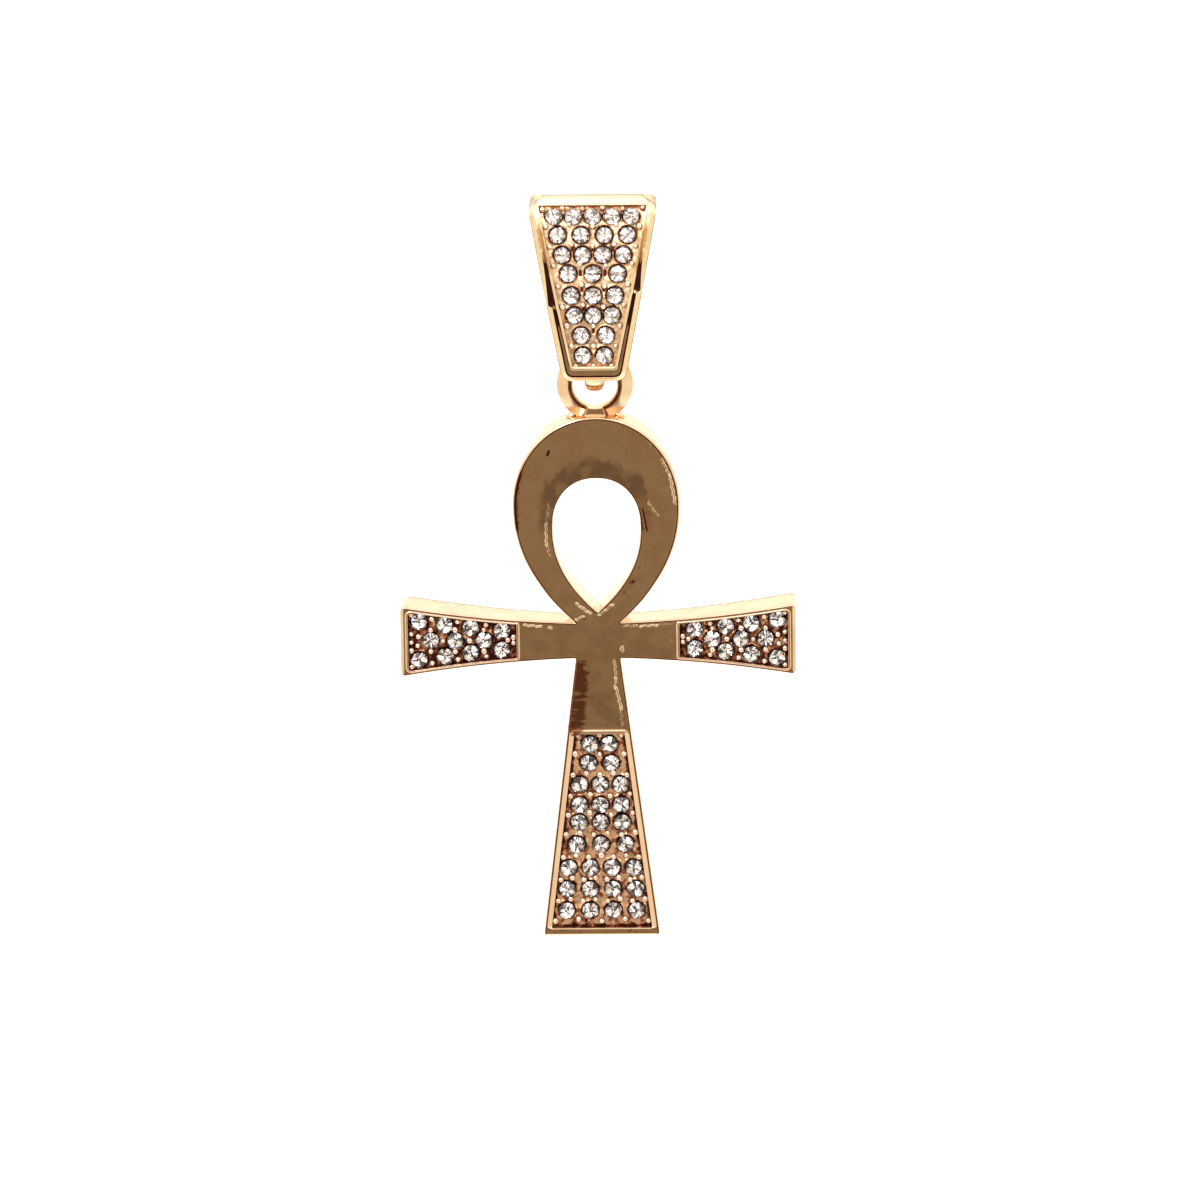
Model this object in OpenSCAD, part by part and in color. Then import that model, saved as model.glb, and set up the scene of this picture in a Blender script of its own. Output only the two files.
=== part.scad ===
// Ankh pendant on a tapered bail, both set with small round stones.
// The origin is the point under the bail's rolled top where a chain bears, with Z up and the face towards -Y.

/* [Ankh] */
// Width over the two arms
arm_span = 44.2; // [38:0.2:52]
// Height of an arm where it leaves the shaft
arm_root_h = 4.2; // [3.6:0.1:5]
// Height of an arm at its end
arm_tip_h = 8.2; // [7.4:0.1:10]
// How far the flared edges of an arm bow inwards
arm_bow = 0.35; // [0:0.05:0.6]
// Width of the loop
loop_w = 18.6; // [16:0.2:22]
// Height of the loop above the middle of the arms
loop_h = 26.1; // [23:0.1:30]
// Height of the loop's widest place above the middle of the arms
loop_belly = 15.85; // [14:0.05:18]
// Width of the drop-shaped hole in the loop
hole_w = 9.8; // [8:0.2:11]
// Top of the hole above the middle of the arms
hole_top = 19; // [17:0.1:21]
// Widest place of the hole above the middle of the arms
hole_belly = 13.25; // [11:0.05:15]
// Lower point of the hole above the middle of the arms
hole_foot = 3.35; // [3:0.05:5]
// Width of the shaft where it leaves the arms
shaft_top_w = 5; // [4.4:0.1:6]
// Width of the shaft at its foot
shaft_foot_w = 13.1; // [11:0.1:16]
// Length of the shaft below the middle of the arms
shaft_l = 35; // [30:0.5:42]
// Thickness of the ankh
ankh_t = 4; // [3.4:0.1:5]

/* [Ring] */
// Radius of the hole in the small ring on top of the loop
ring_hole_r = 2.45; // [2.2:0.05:3]
// Width of the ring's bar, from its hole to its outer edge
ring_bar = 1.82; // [1.6:0.02:2.2]
// Thickness of the ring
ring_t = 1.6; // [1.2:0.1:2]
// Distance from the ring's centre down to the top of the loop
ring_rise = 3.33; // [3:0.01:3.6]

/* [Bail] */
// Outer radius of the rolled top, seen from the side
roll_r = 3.4; // [3.2:0.1:5]
// Thickness of the front plate and of the rolled top
plate_t = 1.5; // [1.3:0.1:1.8]
// Radius of the front plate's bow
front_bow = 50; // [35:1:90]
// Lean of the front plate where it meets the roll, in degrees
front_lean = 20; // [12:1:24]
// Width of the bail at its top
bail_top_w = 14.6; // [13:0.1:18]
// Width of the bail at the lower edge of its front plate
bail_foot_w = 7; // [6.4:0.1:9]
// Drop from the middle of the roll to the lower edge of the front plate
bail_drop = 16.42; // [15:0.02:20]
// Radius of the bail's corners
bail_corner = 1.1; // [0.5:0.1:1.6]
// Thickness of the plain back
back_t = 1.2; // [1:0.1:1.6]
// Distance from the middle of the hook to the inner face of the back, at its lower edge
back_gap = 2.6; // [2.4:0.1:3]

/* [Hook] */
// Width of the hook that passes through the ring
hook_w = 2.3; // [1.8:0.1:2.8]
// Drop from the middle of the roll to the seat of the ring
hook_drop = 15.83; // [14:0.01:19]
// Height of the hook under the ring's seat
hook_h = 2.94; // [2:0.02:3.2]
// Outer radius of the hook, seen from the side
hook_r = 3.4; // [3.1:0.1:3.8]
// Half the width of the slot that the ring swings in
slot_r = 2.1; // [1.6:0.1:2.2]
// Distance from the front of the bail to the middle of the hook
hook_set = 4.8; // [4.4:0.1:5.6]
// Running gap between the ring and its seat
ring_gap = 0.3; // [0.2:0.05:0.4]

/* [Stones] */
// Diameter of a stone
stone_d = 1.85; // [1.5:0.05:1.9]
// Height of a stone's crown
crown_h = 0.3; // [0.2:0.02:0.4]
// Depth of a stone's pavilion
pavilion_h = 0.5; // [0.3:0.02:0.6]
// Width of a stone's table as a share of its diameter
table_share = 0.56; // [0.45:0.01:0.65]
// Gap between a stone and its seat
seat_gap = 0.06; // [0.05:0.01:0.1]
// Depth of the stones' tables below the rims
table_drop = 0.08; // [0.05:0.01:0.2]
// Diameter of the small beads that hold the stones
bead_d = 0.54; // [0.4:0.02:0.6]
// Depth of the beads' tops below the rims
bead_drop = 0.14; // [0.05:0.01:0.3]

/* [Fields] */
// Depth of the recessed fields
field_depth = 0.6; // [0.4:0.05:0.7]
// Start of an arm's field, from the middle of the shaft
arm_field_start = 9.1; // [8:0.1:11]
// Border at the end of an arm
arm_tip_border = 0.85; // [0.6:0.05:1.2]
// Border along an arm
arm_side_border = 0.48; // [0.4:0.02:0.8]
// Start of the shaft's field, below the middle of the arms
shaft_field_start = 11; // [9:0.1:13]
// Border at the foot of the shaft
shaft_foot_border = 1.3; // [0.8:0.1:2]
// Border along the shaft
shaft_side_border = 0.78; // [0.5:0.02:1]
// Border at the top of the bail's field, measured along each side
bail_top_border = 1.2; // [1:0.05:1.6]
// Border along the bail's field at its foot
bail_side_border = 1.5; // [1.1:0.05:1.7]
// Border under the bail's field
bail_foot_border = 1.87; // [1.4:0.01:2.4]
// How far the bail's field runs up over the roll, along its surface
bail_field_over = 2.1; // [1.6:0.1:2.6]
// Width of the raised rim round the bail's field
rim_w = 0.36; // [0.25:0.01:0.5]
// Height of the raised rim above the bail's frame
rim_h = 0.15; // [0.1:0.01:0.3]

/* [Hidden] */
$fn = 48;
// Overlap that lets two forms of one casting join
weld = 0.2;
// Powers of the curves of the loop and of its hole
loop_fall = 2.22;
hole_round = 2.2;
// Steps of a drawn curve
loop_steps = 36;
hole_steps = 26;
arm_steps = 6;
roll_step = 9;
bow_steps = 8;

// Rows of stones: how many, reach of the outer ones as a share of half the field, place as a share of
// the field's length from its top
bail_rows = [
  [5, 0.74, 0.072],
  [4, 0.72, 0.193],
  [4, 0.685, 0.315],
  [3, 0.605, 0.43],
  [3, 0.605, 0.565],
  [3, 0.585, 0.687],
  [2, 0.445, 0.812],
  [2, 0.455, 0.938]
];
shaft_rows = [
  [2, 0.36, 0.06],
  [2, 0.39, 0.159],
  [3, 0.642, 0.271],
  [3, 0.605, 0.377],
  [3, 0.585, 0.469],
  [3, 0.615, 0.584],
  [4, 0.764, 0.707],
  [4, 0.757, 0.819],
  [4, 0.725, 0.932]
];
// Places of an arm's stones as shares of its field's length
arm_outer_row = [0.139, 0.424, 0.661, 0.9];
arm_middle_row = [0.302, 0.567, 0.792];

// Side view of the bail, as [y, z] about the origin
roll_inner_r = roll_r - plate_t;
roll_z = -roll_inner_r;
bow_y = (front_bow - roll_r) * cos(front_lean);
bow_z = roll_z - (front_bow - roll_r) * sin(front_lean);
front_y = bow_y - front_bow;
plate_foot_z = roll_z - bail_drop;
hook_y = front_y + hook_set;
seat_z = roll_z - hook_drop;
hook_foot_z = seat_z - hook_h;
ring_z = seat_z + ring_gap - ring_hole_r;
pivot_z = ring_z + ring_hole_r + ring_t / 2;
back_foot_y = hook_y + back_gap;
back_foot_z = plate_foot_z + field_depth;
bail_half_top = bail_top_w / 2;
bail_half_foot = bail_foot_w / 2;
bail_top_z = roll_z + roll_r;

// Front view of the ankh, with z from the middle of the arms
ankh_z = ring_z - ring_rise - loop_h;
shaft_root_z = -arm_root_h / 2;
face_y = hook_y - ankh_t / 2;
stone_r = stone_d / 2;
girdle_h = 0.1;
bead_inset = bead_d * 0.6;
bead_step = bead_d * 1.7;
seat_depth = table_drop + crown_h + girdle_h + pavilion_h + seat_gap;
bead_clear = stone_r + bead_d / 2 + seat_gap;

// Angle and point of the bail's front at the distance s along it, with 0 where the plate meets the roll
function front_angle(s) = front_lean + s / (s > 0 ? roll_r : front_bow) * 180 / PI;
function front_point(s, in = 0) = s > 0
  ? [-(roll_r - in) * cos(front_angle(s)), roll_z + (roll_r - in) * sin(front_angle(s))]
  : [bow_y - (front_bow - in) * cos(front_angle(s)), bow_z + (front_bow - in) * sin(front_angle(s))];
function front_length(z) = (asin((z - bow_z) / front_bow) - front_lean) * PI / 180 * front_bow;
function bail_half(z) = bail_half_foot + (bail_half_top - bail_half_foot) * (z - plate_foot_z)
  / (bail_top_z - plate_foot_z);

// Half heights and widths of the ankh's limbs
function arm_half(d) = let (t = (d - shaft_top_w / 2) / (arm_span / 2 - shaft_top_w / 2))
  arm_root_h / 2 + (arm_tip_h - arm_root_h) / 2 * t - 4 * arm_bow * t * (1 - t);
function shaft_half(z) = shaft_top_w / 2 + (shaft_foot_w - shaft_top_w) / 2
  * (shaft_root_z - z) / (shaft_root_z + shaft_l);
function oval(half, rise, power, steps) = [for (i = [0 : steps]) let (a = 90 * i / steps)
  [half * pow(cos(a), 2 / power), rise * pow(sin(a), 2 / power)]];
function drop(half, fall, power, steps) = [for (i = [0 : steps]) let (t = i / steps)
  [half * (1 - pow(t, power)), -fall * t]];
function swap_side(points) = [for (i = [len(points) - 1 : -1 : 0]) [-points[i][0], points[i][1]]];
function lift(points, z) = [for (p = points) [p[0], p[1] + z]];

// Places of the stones and beads of a field
function row_places(rows, i, half) = let (n = rows[i][0], reach = rows[i][1] * half)
  [for (k = [0 : n - 1]) n == 1 ? 0 : -reach + 2 * reach * k / (n - 1)];
function nearest(site, stones) = min([for (s = stones) norm([s[0] - site[0], s[1] - site[1]])]);
function kept(sites, stones) = [for (p = sites) if (nearest(p, stones) >= bead_clear) p];
// Sites over a gap: between the stones of the fuller row, and one at each side of the field
function gap_sites(rows, i, j, reach, side, at) = let (
    row = rows[i][0] >= rows[j][0] ? i : j,
    n = rows[row][0],
    pitch = 2 * rows[row][1] * reach / (n - 1)
  ) concat(
    [for (k = [1 : n - 1]) [pitch * (k - n / 2), at]],
    [[-(side - bead_d), at], [side - bead_d, at]]
  );

// The shaft's field, with distances down from the middle of the arms
shaft_field_end = shaft_l - shaft_foot_border;
shaft_field_l = shaft_field_end - shaft_field_start;
function shaft_field_half(down) = shaft_half(-down) - shaft_side_border;
function shaft_down(i) = shaft_field_start + shaft_rows[i][2] * shaft_field_l;
shaft_stone_places = [for (i = [0 : len(shaft_rows) - 1])
  each [for (x = row_places(shaft_rows, i, shaft_field_half(shaft_down(i)))) [x, shaft_down(i)]]];
shaft_edge_sites = concat(
  gap_sites(shaft_rows, 0, 0, shaft_field_half(shaft_down(0)), shaft_field_half(shaft_field_start),
    shaft_field_start + bead_inset),
  gap_sites(shaft_rows, 8, 8, shaft_field_half(shaft_down(8)), shaft_field_half(shaft_field_end),
    shaft_field_end - bead_inset)
);
shaft_gap_sites = [for (i = [0 : len(shaft_rows) - 2]) let (down = (shaft_down(i) + shaft_down(i + 1)) / 2)
  each gap_sites(shaft_rows, i, i + 1, shaft_field_half(down), shaft_field_half(down), down)];
shaft_bead_places = kept(concat(shaft_gap_sites, shaft_edge_sites), shaft_stone_places);

// An arm's field, with distances out from the middle of the shaft
arm_field_end = arm_span / 2 - arm_tip_border;
arm_field_l = arm_field_end - arm_field_start;
function arm_field_half(d) = arm_half(d) - arm_side_border;
function arm_out(share) = arm_field_start + share * arm_field_l;
arm_stone_places = concat(
  [for (share = arm_outer_row, side = [-1, 1])
    [arm_out(share), side * (arm_field_half(arm_out(share)) - stone_r - seat_gap)]],
  [for (share = arm_middle_row) [arm_out(share), 0]]
);
arm_sites = concat(
  [for (i = [0 : len(arm_outer_row) - 2], side = [-1, 1]) let (d = arm_out((arm_outer_row[i]
    + arm_outer_row[i + 1]) / 2)) [d, side * (arm_field_half(d) - bead_inset)]],
  [for (share = arm_middle_row, side = [-1, 1]) [arm_out(share), side * bead_clear]],
  [for (i = [0 : len(arm_middle_row) - 2]) [arm_out((arm_middle_row[i] + arm_middle_row[i + 1]) / 2), 0]],
  [for (side = [-1, 0, 1]) [arm_field_end - bead_inset, side * bead_step]],
  [for (side = [-1, 1]) [arm_field_end - bead_inset, side * (arm_field_half(arm_field_end) - bead_inset)]],
  [for (side = [-1, 0, 1]) [arm_field_start + bead_inset, side * bead_step]]
);
arm_bead_places = kept(arm_sites, arm_stone_places);

// The bail's field, with distances s along its front
bail_field_top = bail_field_over;
bail_field_foot = front_length(plate_foot_z + bail_foot_border);
bail_field_l = bail_field_top - bail_field_foot;
bail_field_top_z = front_point(bail_field_top)[1];
bail_field_foot_z = front_point(bail_field_foot)[1];
function bail_border(z) = bail_side_border + (bail_top_border - bail_side_border)
  * (z - bail_field_foot_z) / (bail_field_top_z - bail_field_foot_z);
function bail_field_half(s) = let (z = front_point(s)[1]) bail_half(z) - bail_border(z);
function bail_s(i) = bail_field_top - bail_rows[i][2] * bail_field_l;
bail_stone_places = [for (i = [0 : len(bail_rows) - 1])
  each [for (x = row_places(bail_rows, i, bail_field_half(bail_s(i)))) [x, bail_s(i)]]];
bail_gap_sites = [for (i = [0 : len(bail_rows) - 2]) let (s = (bail_s(i) + bail_s(i + 1)) / 2)
  each gap_sites(bail_rows, i, i + 1, bail_field_half(s), bail_field_half(s), s)];
bail_edge_sites = gap_sites(bail_rows, 0, 0, bail_field_half(bail_s(0)), bail_field_half(bail_field_top),
  bail_field_top - bead_inset);
bail_bead_places = kept(concat(bail_gap_sites, bail_edge_sites), bail_stone_places);

// A round cut stone: table up at z = 0, girdle below its crown, culet at the foot
module stone() {
  sides = 8;
  table_r = stone_r * table_share;
  function at(r, z, turn) = [for (i = [0 : sides - 1]) let (a = 360 * (i + turn) / sides)
    [r * cos(a), r * sin(a), z]];
  points = concat(
    at(table_r, 0, 0.5),
    at(stone_r, -crown_h, 0),
    at(stone_r, -crown_h - girdle_h, 0),
    [[0, 0, -crown_h - girdle_h - pavilion_h]]
  );
  next = function (i) (i + 1) % sides;
  faces = concat(
    [[for (i = [sides - 1 : -1 : 0]) i]],
    [for (i = [0 : sides - 1]) [sides + i, i, sides + next(i)]],
    [for (i = [0 : sides - 1]) [i, next(i), sides + next(i)]],
    [for (i = [0 : sides - 1]) [sides + i, sides + next(i), 2 * sides + next(i), 2 * sides + i]],
    [for (i = [0 : sides - 1]) [2 * sides + i, 2 * sides + next(i), 3 * sides]]
  );
  polyhedron(points, faces);
}

// Puts its children on the front of the bail, facing out, at the place [x, s]
module on_bail(place) {
  translate([place[0], front_point(place[1])[0], front_point(place[1])[1]])
    rotate([90 - front_angle(place[1]), 0, 0]) children();
}

// Puts its children on the face of the ankh, facing out, at the place [x, z]
module on_ankh(x, z) {
  translate([x, face_y, ankh_z + z]) rotate([90, 0, 0]) children();
}

// The round pocket that a stone sits in
module seat() {
  translate([0, 0, -seat_depth]) cylinder(r = stone_r + seat_gap, h = seat_depth + weld);
}

// A bead, from below the field's floor to its top
module bead() {
  translate([0, 0, -field_depth - weld]) cylinder(d = bead_d, h = field_depth + weld - bead_drop, $fn = 16);
}

// A drop: round above its widest place, at the height belly, and drawn to a point at its foot
module drop_outline(w, top, belly, foot, power, steps) {
  upper = lift(oval(w / 2, top - belly, power, steps), belly);
  lower = lift(drop(w / 2, belly - foot, loop_fall, steps), belly);
  right = concat([for (i = [steps : -1 : 1]) upper[i]], lower);
  left = swap_side(right);
  polygon(concat(right, [for (i = [1 : len(left) - 2]) left[i]]));
}

// Outline of both arms, or of one arm's field
module arms_outline() {
  root = shaft_top_w / 2;
  upper = [for (i = [0 : arm_steps]) let (d = root + (arm_span / 2 - root) * i / arm_steps) [d, arm_half(d)]];
  lower = [for (i = [arm_steps : -1 : 0]) [upper[i][0], -upper[i][1]]];
  right = concat(upper, lower);
  polygon(concat(right, swap_side(right)));
}
module arm_field_outline() {
  upper = [for (i = [0 : arm_steps]) let (d = arm_field_start + arm_field_l * i / arm_steps)
    [d, arm_field_half(d)]];
  polygon(concat(upper, [for (i = [arm_steps : -1 : 0]) [upper[i][0], -upper[i][1]]]));
}

// Outline of the shaft and of its field
module shaft_outline() {
  foot = shaft_foot_w / 2;
  polygon([[-shaft_half(0), 0], [shaft_half(0), 0], [foot, -shaft_l], [-foot, -shaft_l]]);
}
module shaft_field_outline() {
  top = shaft_field_half(shaft_field_start);
  foot = shaft_field_half(shaft_field_end);
  polygon([[-top, -shaft_field_start], [top, -shaft_field_start], [foot, -shaft_field_end],
    [-foot, -shaft_field_end]]);
}

// A slab of the ankh cut to an outline, from the depth d1 behind the face to the depth d2
module slab(d1, d2) {
  translate([0, face_y + d2, ankh_z]) rotate([90, 0, 0]) linear_extrude(d2 - d1) children();
}

// The small ring on top of the loop, its bar rounded towards the hole
module ring() {
  bar_r = ring_t / 2;
  translate([0, hook_y, ring_z]) rotate([90, 0, 0]) rotate_extrude() {
    translate([ring_hole_r + bar_r, 0]) circle(bar_r);
    translate([ring_hole_r + bar_r, -bar_r]) square([ring_bar - bar_r, ring_t]);
  }
}

module ankh() color([0.86, 0.63, 0.45]) {
  difference() {
    union() {
      slab(0, ankh_t) difference() {
        union() {
          drop_outline(loop_w, loop_h, loop_belly, 0, 2, loop_steps);
          arms_outline();
          shaft_outline();
        }
        drop_outline(hole_w, hole_top, hole_belly, hole_foot, hole_round, hole_steps);
      }
      ring();
    }
    slab(-weld, field_depth) arm_field_outline();
    slab(-weld, field_depth) mirror([1, 0]) arm_field_outline();
    slab(-weld, field_depth) shaft_field_outline();
    for (p = arm_stone_places, side = [-1, 1]) on_ankh(side * p[0], p[1]) seat();
    for (p = shaft_stone_places) on_ankh(p[0], -p[1]) seat();
  }
  for (p = arm_bead_places, side = [-1, 1]) on_ankh(side * p[0], p[1]) bead();
  for (p = shaft_bead_places) on_ankh(p[0], -p[1]) bead();
}

// The band of the bail seen from the side, between two depths behind its front, and its back
function front_line(in, last = 179) = concat(
  [for (i = [0 : bow_steps]) front_point(front_length(plate_foot_z) * (1 - i / bow_steps), in)],
  [for (a = [front_lean + roll_step : roll_step : last])
    [-(roll_r - in) * cos(a), roll_z + (roll_r - in) * sin(a)]]
);
module bail_side() {
  inside = front_line(plate_t);
  polygon(concat(
    front_line(0),
    [[roll_r, roll_z], [back_foot_y + back_t, back_foot_z]],
    [[back_foot_y, back_foot_z], [roll_inner_r, roll_z]],
    [for (i = [len(inside) - 1 : -1 : 0]) inside[i]]
  ));
}

// Front outlines of the bail and of its field, as [x, z], the field grown by g
module bail_outline() {
  offset(r = bail_corner) offset(delta = -bail_corner) polygon([
    [-bail_half_foot, plate_foot_z],
    [bail_half_foot, plate_foot_z],
    [bail_half_top, bail_top_z],
    [-bail_half_top, bail_top_z]
  ]);
}
module bail_field_outline(g) {
  foot = bail_field_half(bail_field_foot) + g;
  top = bail_field_half(bail_field_top) + g;
  polygon([
    [-foot, bail_field_foot_z - g],
    [foot, bail_field_foot_z - g],
    [top, bail_field_top_z + g / 2],
    [-top, bail_field_top_z + g / 2]
  ]);
}

// A layer of the bail's front between two depths, cut to a front outline
module front_layer(d1, d2) {
  near = front_line(d1, 90);
  far = front_line(d2, 90);
  intersection() {
    rotate([90, 0, 90]) linear_extrude(bail_top_w, center = true)
      polygon(concat(near, [for (i = [len(far) - 1 : -1 : 0]) far[i]]));
    translate([0, roll_r, 0]) rotate([90, 0, 0]) linear_extrude(roll_r - front_y + plate_t) children();
  }
}

// The hook under the bail: a disc seen from the side, open above where the ring swings
module hook() {
  slot_z = seat_z + slot_r;
  crown_w = ring_t + 2 * ring_gap;
  difference() {
    translate([0, hook_y, hook_foot_z + hook_r]) rotate([0, 90, 0])
      cylinder(r = hook_r, h = hook_w, center = true);
    translate([0, hook_y, slot_z]) rotate([0, 90, 0])
      cylinder(r = slot_r, h = hook_w + 1, center = true);
    translate([-hook_w, hook_y - slot_r, slot_z]) cube([2 * hook_w, 2 * slot_r, hook_r * 2]);
    difference() {
      translate([-hook_w, hook_y - crown_w / 2, ring_z]) cube([2 * hook_w, crown_w, ring_hole_r * 2]);
      translate([0, hook_y, ring_z]) rotate([90, 0, 0])
        cylinder(r = ring_hole_r - ring_gap, h = crown_w * 2, center = true);
    }
  }
}

module bail() color([0.9, 0.69, 0.52]) {
  difference() {
    union() {
      intersection() {
        rotate([90, 0, 90]) linear_extrude(bail_top_w, center = true) bail_side();
        translate([0, roll_r + 1, 0]) rotate([90, 0, 0])
          linear_extrude(roll_r - front_y + 2) bail_outline();
      }
      hook();
      front_layer(-rim_h, weld) bail_field_outline(rim_w);
    }
    front_layer(-rim_h - weld, field_depth) bail_field_outline(0);
    for (p = bail_stone_places) on_bail(p) seat();
  }
  for (p = bail_bead_places) on_bail(p) bead();
}

module bail_stones() color([0.92, 0.92, 0.94]) {
  for (p = bail_stone_places) on_bail(p) translate([0, 0, -table_drop]) stone();
}
module left_arm_stones() color([0.92, 0.92, 0.94]) {
  for (p = arm_stone_places) on_ankh(-p[0], p[1]) translate([0, 0, -table_drop]) stone();
}
module right_arm_stones() color([0.92, 0.92, 0.94]) {
  for (p = arm_stone_places) on_ankh(p[0], p[1]) translate([0, 0, -table_drop]) stone();
}
module shaft_stones() color([0.92, 0.92, 0.94]) {
  for (p = shaft_stone_places) on_ankh(p[0], -p[1]) translate([0, 0, -table_drop]) stone();
}

bail();
bail_stones();
ankh();
left_arm_stones();
right_arm_stones();
shaft_stones();
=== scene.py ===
"""Ankh pendant on a tapered bail: the cast metal, the set stones and a plain studio round them.

Drawings are flat and in millimetres. Their first axis runs across the pendant, their second one up the
ankh or along the front of the bail, and a depth runs into the metal from its front. Meshes are in metres.
"""

import logging
import math
from collections.abc import Callable, Sequence
from dataclasses import dataclass, field
from enum import Enum, IntEnum
from typing import ClassVar

import bmesh
import bpy
import numpy as np
from mathutils import Matrix, Vector
from mathutils.geometry import delaunay_2d_cdt


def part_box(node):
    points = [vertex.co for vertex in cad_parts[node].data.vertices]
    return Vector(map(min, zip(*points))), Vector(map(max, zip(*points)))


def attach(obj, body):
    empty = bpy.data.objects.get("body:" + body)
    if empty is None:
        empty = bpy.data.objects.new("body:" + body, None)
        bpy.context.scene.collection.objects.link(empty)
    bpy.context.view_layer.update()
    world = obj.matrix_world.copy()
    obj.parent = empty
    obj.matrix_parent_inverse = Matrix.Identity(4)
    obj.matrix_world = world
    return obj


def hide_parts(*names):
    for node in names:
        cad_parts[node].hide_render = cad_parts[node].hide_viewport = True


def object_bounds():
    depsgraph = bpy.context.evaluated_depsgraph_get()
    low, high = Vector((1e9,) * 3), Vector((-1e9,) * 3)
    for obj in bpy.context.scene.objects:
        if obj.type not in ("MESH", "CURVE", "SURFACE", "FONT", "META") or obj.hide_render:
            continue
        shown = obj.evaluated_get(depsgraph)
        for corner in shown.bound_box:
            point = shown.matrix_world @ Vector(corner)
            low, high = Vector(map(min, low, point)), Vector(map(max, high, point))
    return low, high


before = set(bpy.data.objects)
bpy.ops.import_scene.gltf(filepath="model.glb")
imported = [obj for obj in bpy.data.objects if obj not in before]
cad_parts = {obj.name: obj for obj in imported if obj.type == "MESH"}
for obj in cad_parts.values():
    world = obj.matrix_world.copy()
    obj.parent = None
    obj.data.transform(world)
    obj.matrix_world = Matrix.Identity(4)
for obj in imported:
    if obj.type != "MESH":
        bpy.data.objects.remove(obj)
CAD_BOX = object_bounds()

Array = np.ndarray
Material = bpy.types.Material
Pair = tuple[float, float]
Triple = tuple[float, float, float]
RowPlan = tuple[tuple[int, float, float], ...]

MM = 0.001
MERGE_DISTANCE = 1.5e-6
SHARP_ANGLE = math.radians(38)
FLIP = np.array([-1.0, 1.0])
FINE_GRID = 0.05
FIELD_STEP = 0.25
log = logging.getLogger("pendant")


class Body(Enum):
    """The two bodies that move against each other."""

    BAIL = "bail"
    ANKH = "ankh"


class Skin(IntEnum):
    """Places of a casting's finishes in its list of materials."""

    POLISHED = 0
    FLOOR = 1
    BEAD = 2


class Cut(IntEnum):
    """Places of a stone's finishes in its list of materials."""

    CROWN = 0
    FOIL = 1


def lengths_along(line: Array) -> Array:
    """Gives the distance walked along a line at each of its points: the sum of its pieces so far."""
    return np.concatenate([[0.0], np.cumsum(np.linalg.norm(np.diff(line, axis=0), axis=1))])


def spaced(line: Array, step: float, cut_start: float = 0.0, cut_end: float = 0.0) -> Array:
    """Walks a line at even steps, leaving out a stretch at either end.

    Args:
        line: Points of the line, one a row.
        step: Rough distance between the new points.
        cut_start: Length left out at the start.
        cut_end: Length left out at the end.

    Returns:
        The new points, evenly spaced by linear interpolation over the length walked.
    """
    walked = lengths_along(line)
    first, last = cut_start, walked[-1] - cut_end
    count = max(2, int(round((last - first) / step)) + 1)
    at = np.linspace(first, last, count)
    return np.stack([np.interp(at, walked, line[:, 0]), np.interp(at, walked, line[:, 1])], 1)


def join_rounded(pieces: list[Array], cuts: Sequence[float], step: float, closed: bool = True) -> Array:
    """Joins lines end to end and rounds the corners between them.

    Each corner is a parabola: (1-t)^2 a + 2t(1-t) c + t^2 b, where a and b lie the cut away from the
    corner c on the two lines that meet there.

    Args:
        pieces: The lines in walking order, each starting where the one before ends.
        cuts: How far from the start of each line its corner begins to round.
        step: Rough distance between points.
        closed: Whether the last line meets the first.

    Returns:
        Points of the joined outline.
    """
    count = len(pieces)
    ends = [cuts[(i + 1) % count] if closed or i + 1 < count else 0.0 for i in range(count)]
    trimmed = [spaced(pieces[i], step, cuts[i], ends[i]) for i in range(count)]
    t = np.linspace(0, 1, 7)[1:-1, None]
    parts = []
    for i in range(count):
        if cuts[i] > 0:
            a, b, corner = trimmed[i - 1][-1], trimmed[i][0], pieces[i][0]
            parts.append((1 - t) ** 2 * a + 2 * t * (1 - t) * corner + t**2 * b)
        start = 0 if cuts[i] > 0 or i == 0 else 1
        parts.append(trimmed[i][start:])
    return np.vstack(parts)


def outward(line: Array, closed: bool = True) -> Array:
    """Gives the directions to the right of a walked line, which point out of a counter-clockwise outline.

    At each point the normals of the two pieces that meet are averaged and lengthened by one over the
    cosine of half the turn, so that a shifted line keeps its distance.

    Args:
        line: Points of the line, one a row.
        closed: Whether the last point meets the first.

    Returns:
        One direction for each point.
    """
    if closed:
        before = line - np.roll(line, 1, axis=0)
        after = np.roll(before, -1, axis=0)
    else:
        step = np.diff(line, axis=0)
        before = np.vstack([step[:1], step])
        after = np.vstack([step, step[-1:]])
    before, after = (
        np.stack([run[:, 1], -run[:, 0]], 1) / np.linalg.norm(run, axis=1, keepdims=True)
        for run in (before, after)
    )
    mean = before + after
    mean /= np.linalg.norm(mean, axis=1, keepdims=True)
    lean = np.maximum((mean * before).sum(1, keepdims=True), 0.4)
    return mean / lean


def smooth(x: Array, low: float, high: float) -> Array:
    """Rises smoothly from 0 at low to 1 at high: 3t^2 - 2t^3."""
    t = np.clip((x - low) / (high - low), 0, 1)
    return t * t * (3 - 2 * t)


def bell(away: Array, width: float) -> Array:
    """Falls from 1 in the middle towards 0 beyond a width: exp(-(away / width)^2)."""
    return np.exp(-((away / width) ** 2))


def signed_power(v: Array, power: float) -> Array:
    """Raises the sizes of numbers to a power and keeps their signs."""
    return np.sign(v) * np.abs(v) ** power


def circle(sides: int) -> Array:
    """Gives places evenly round a circle of radius 1."""
    turn = np.linspace(0, 2 * math.pi, sides, endpoint=False)
    return np.stack([np.cos(turn), np.sin(turn)], 1)


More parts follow.
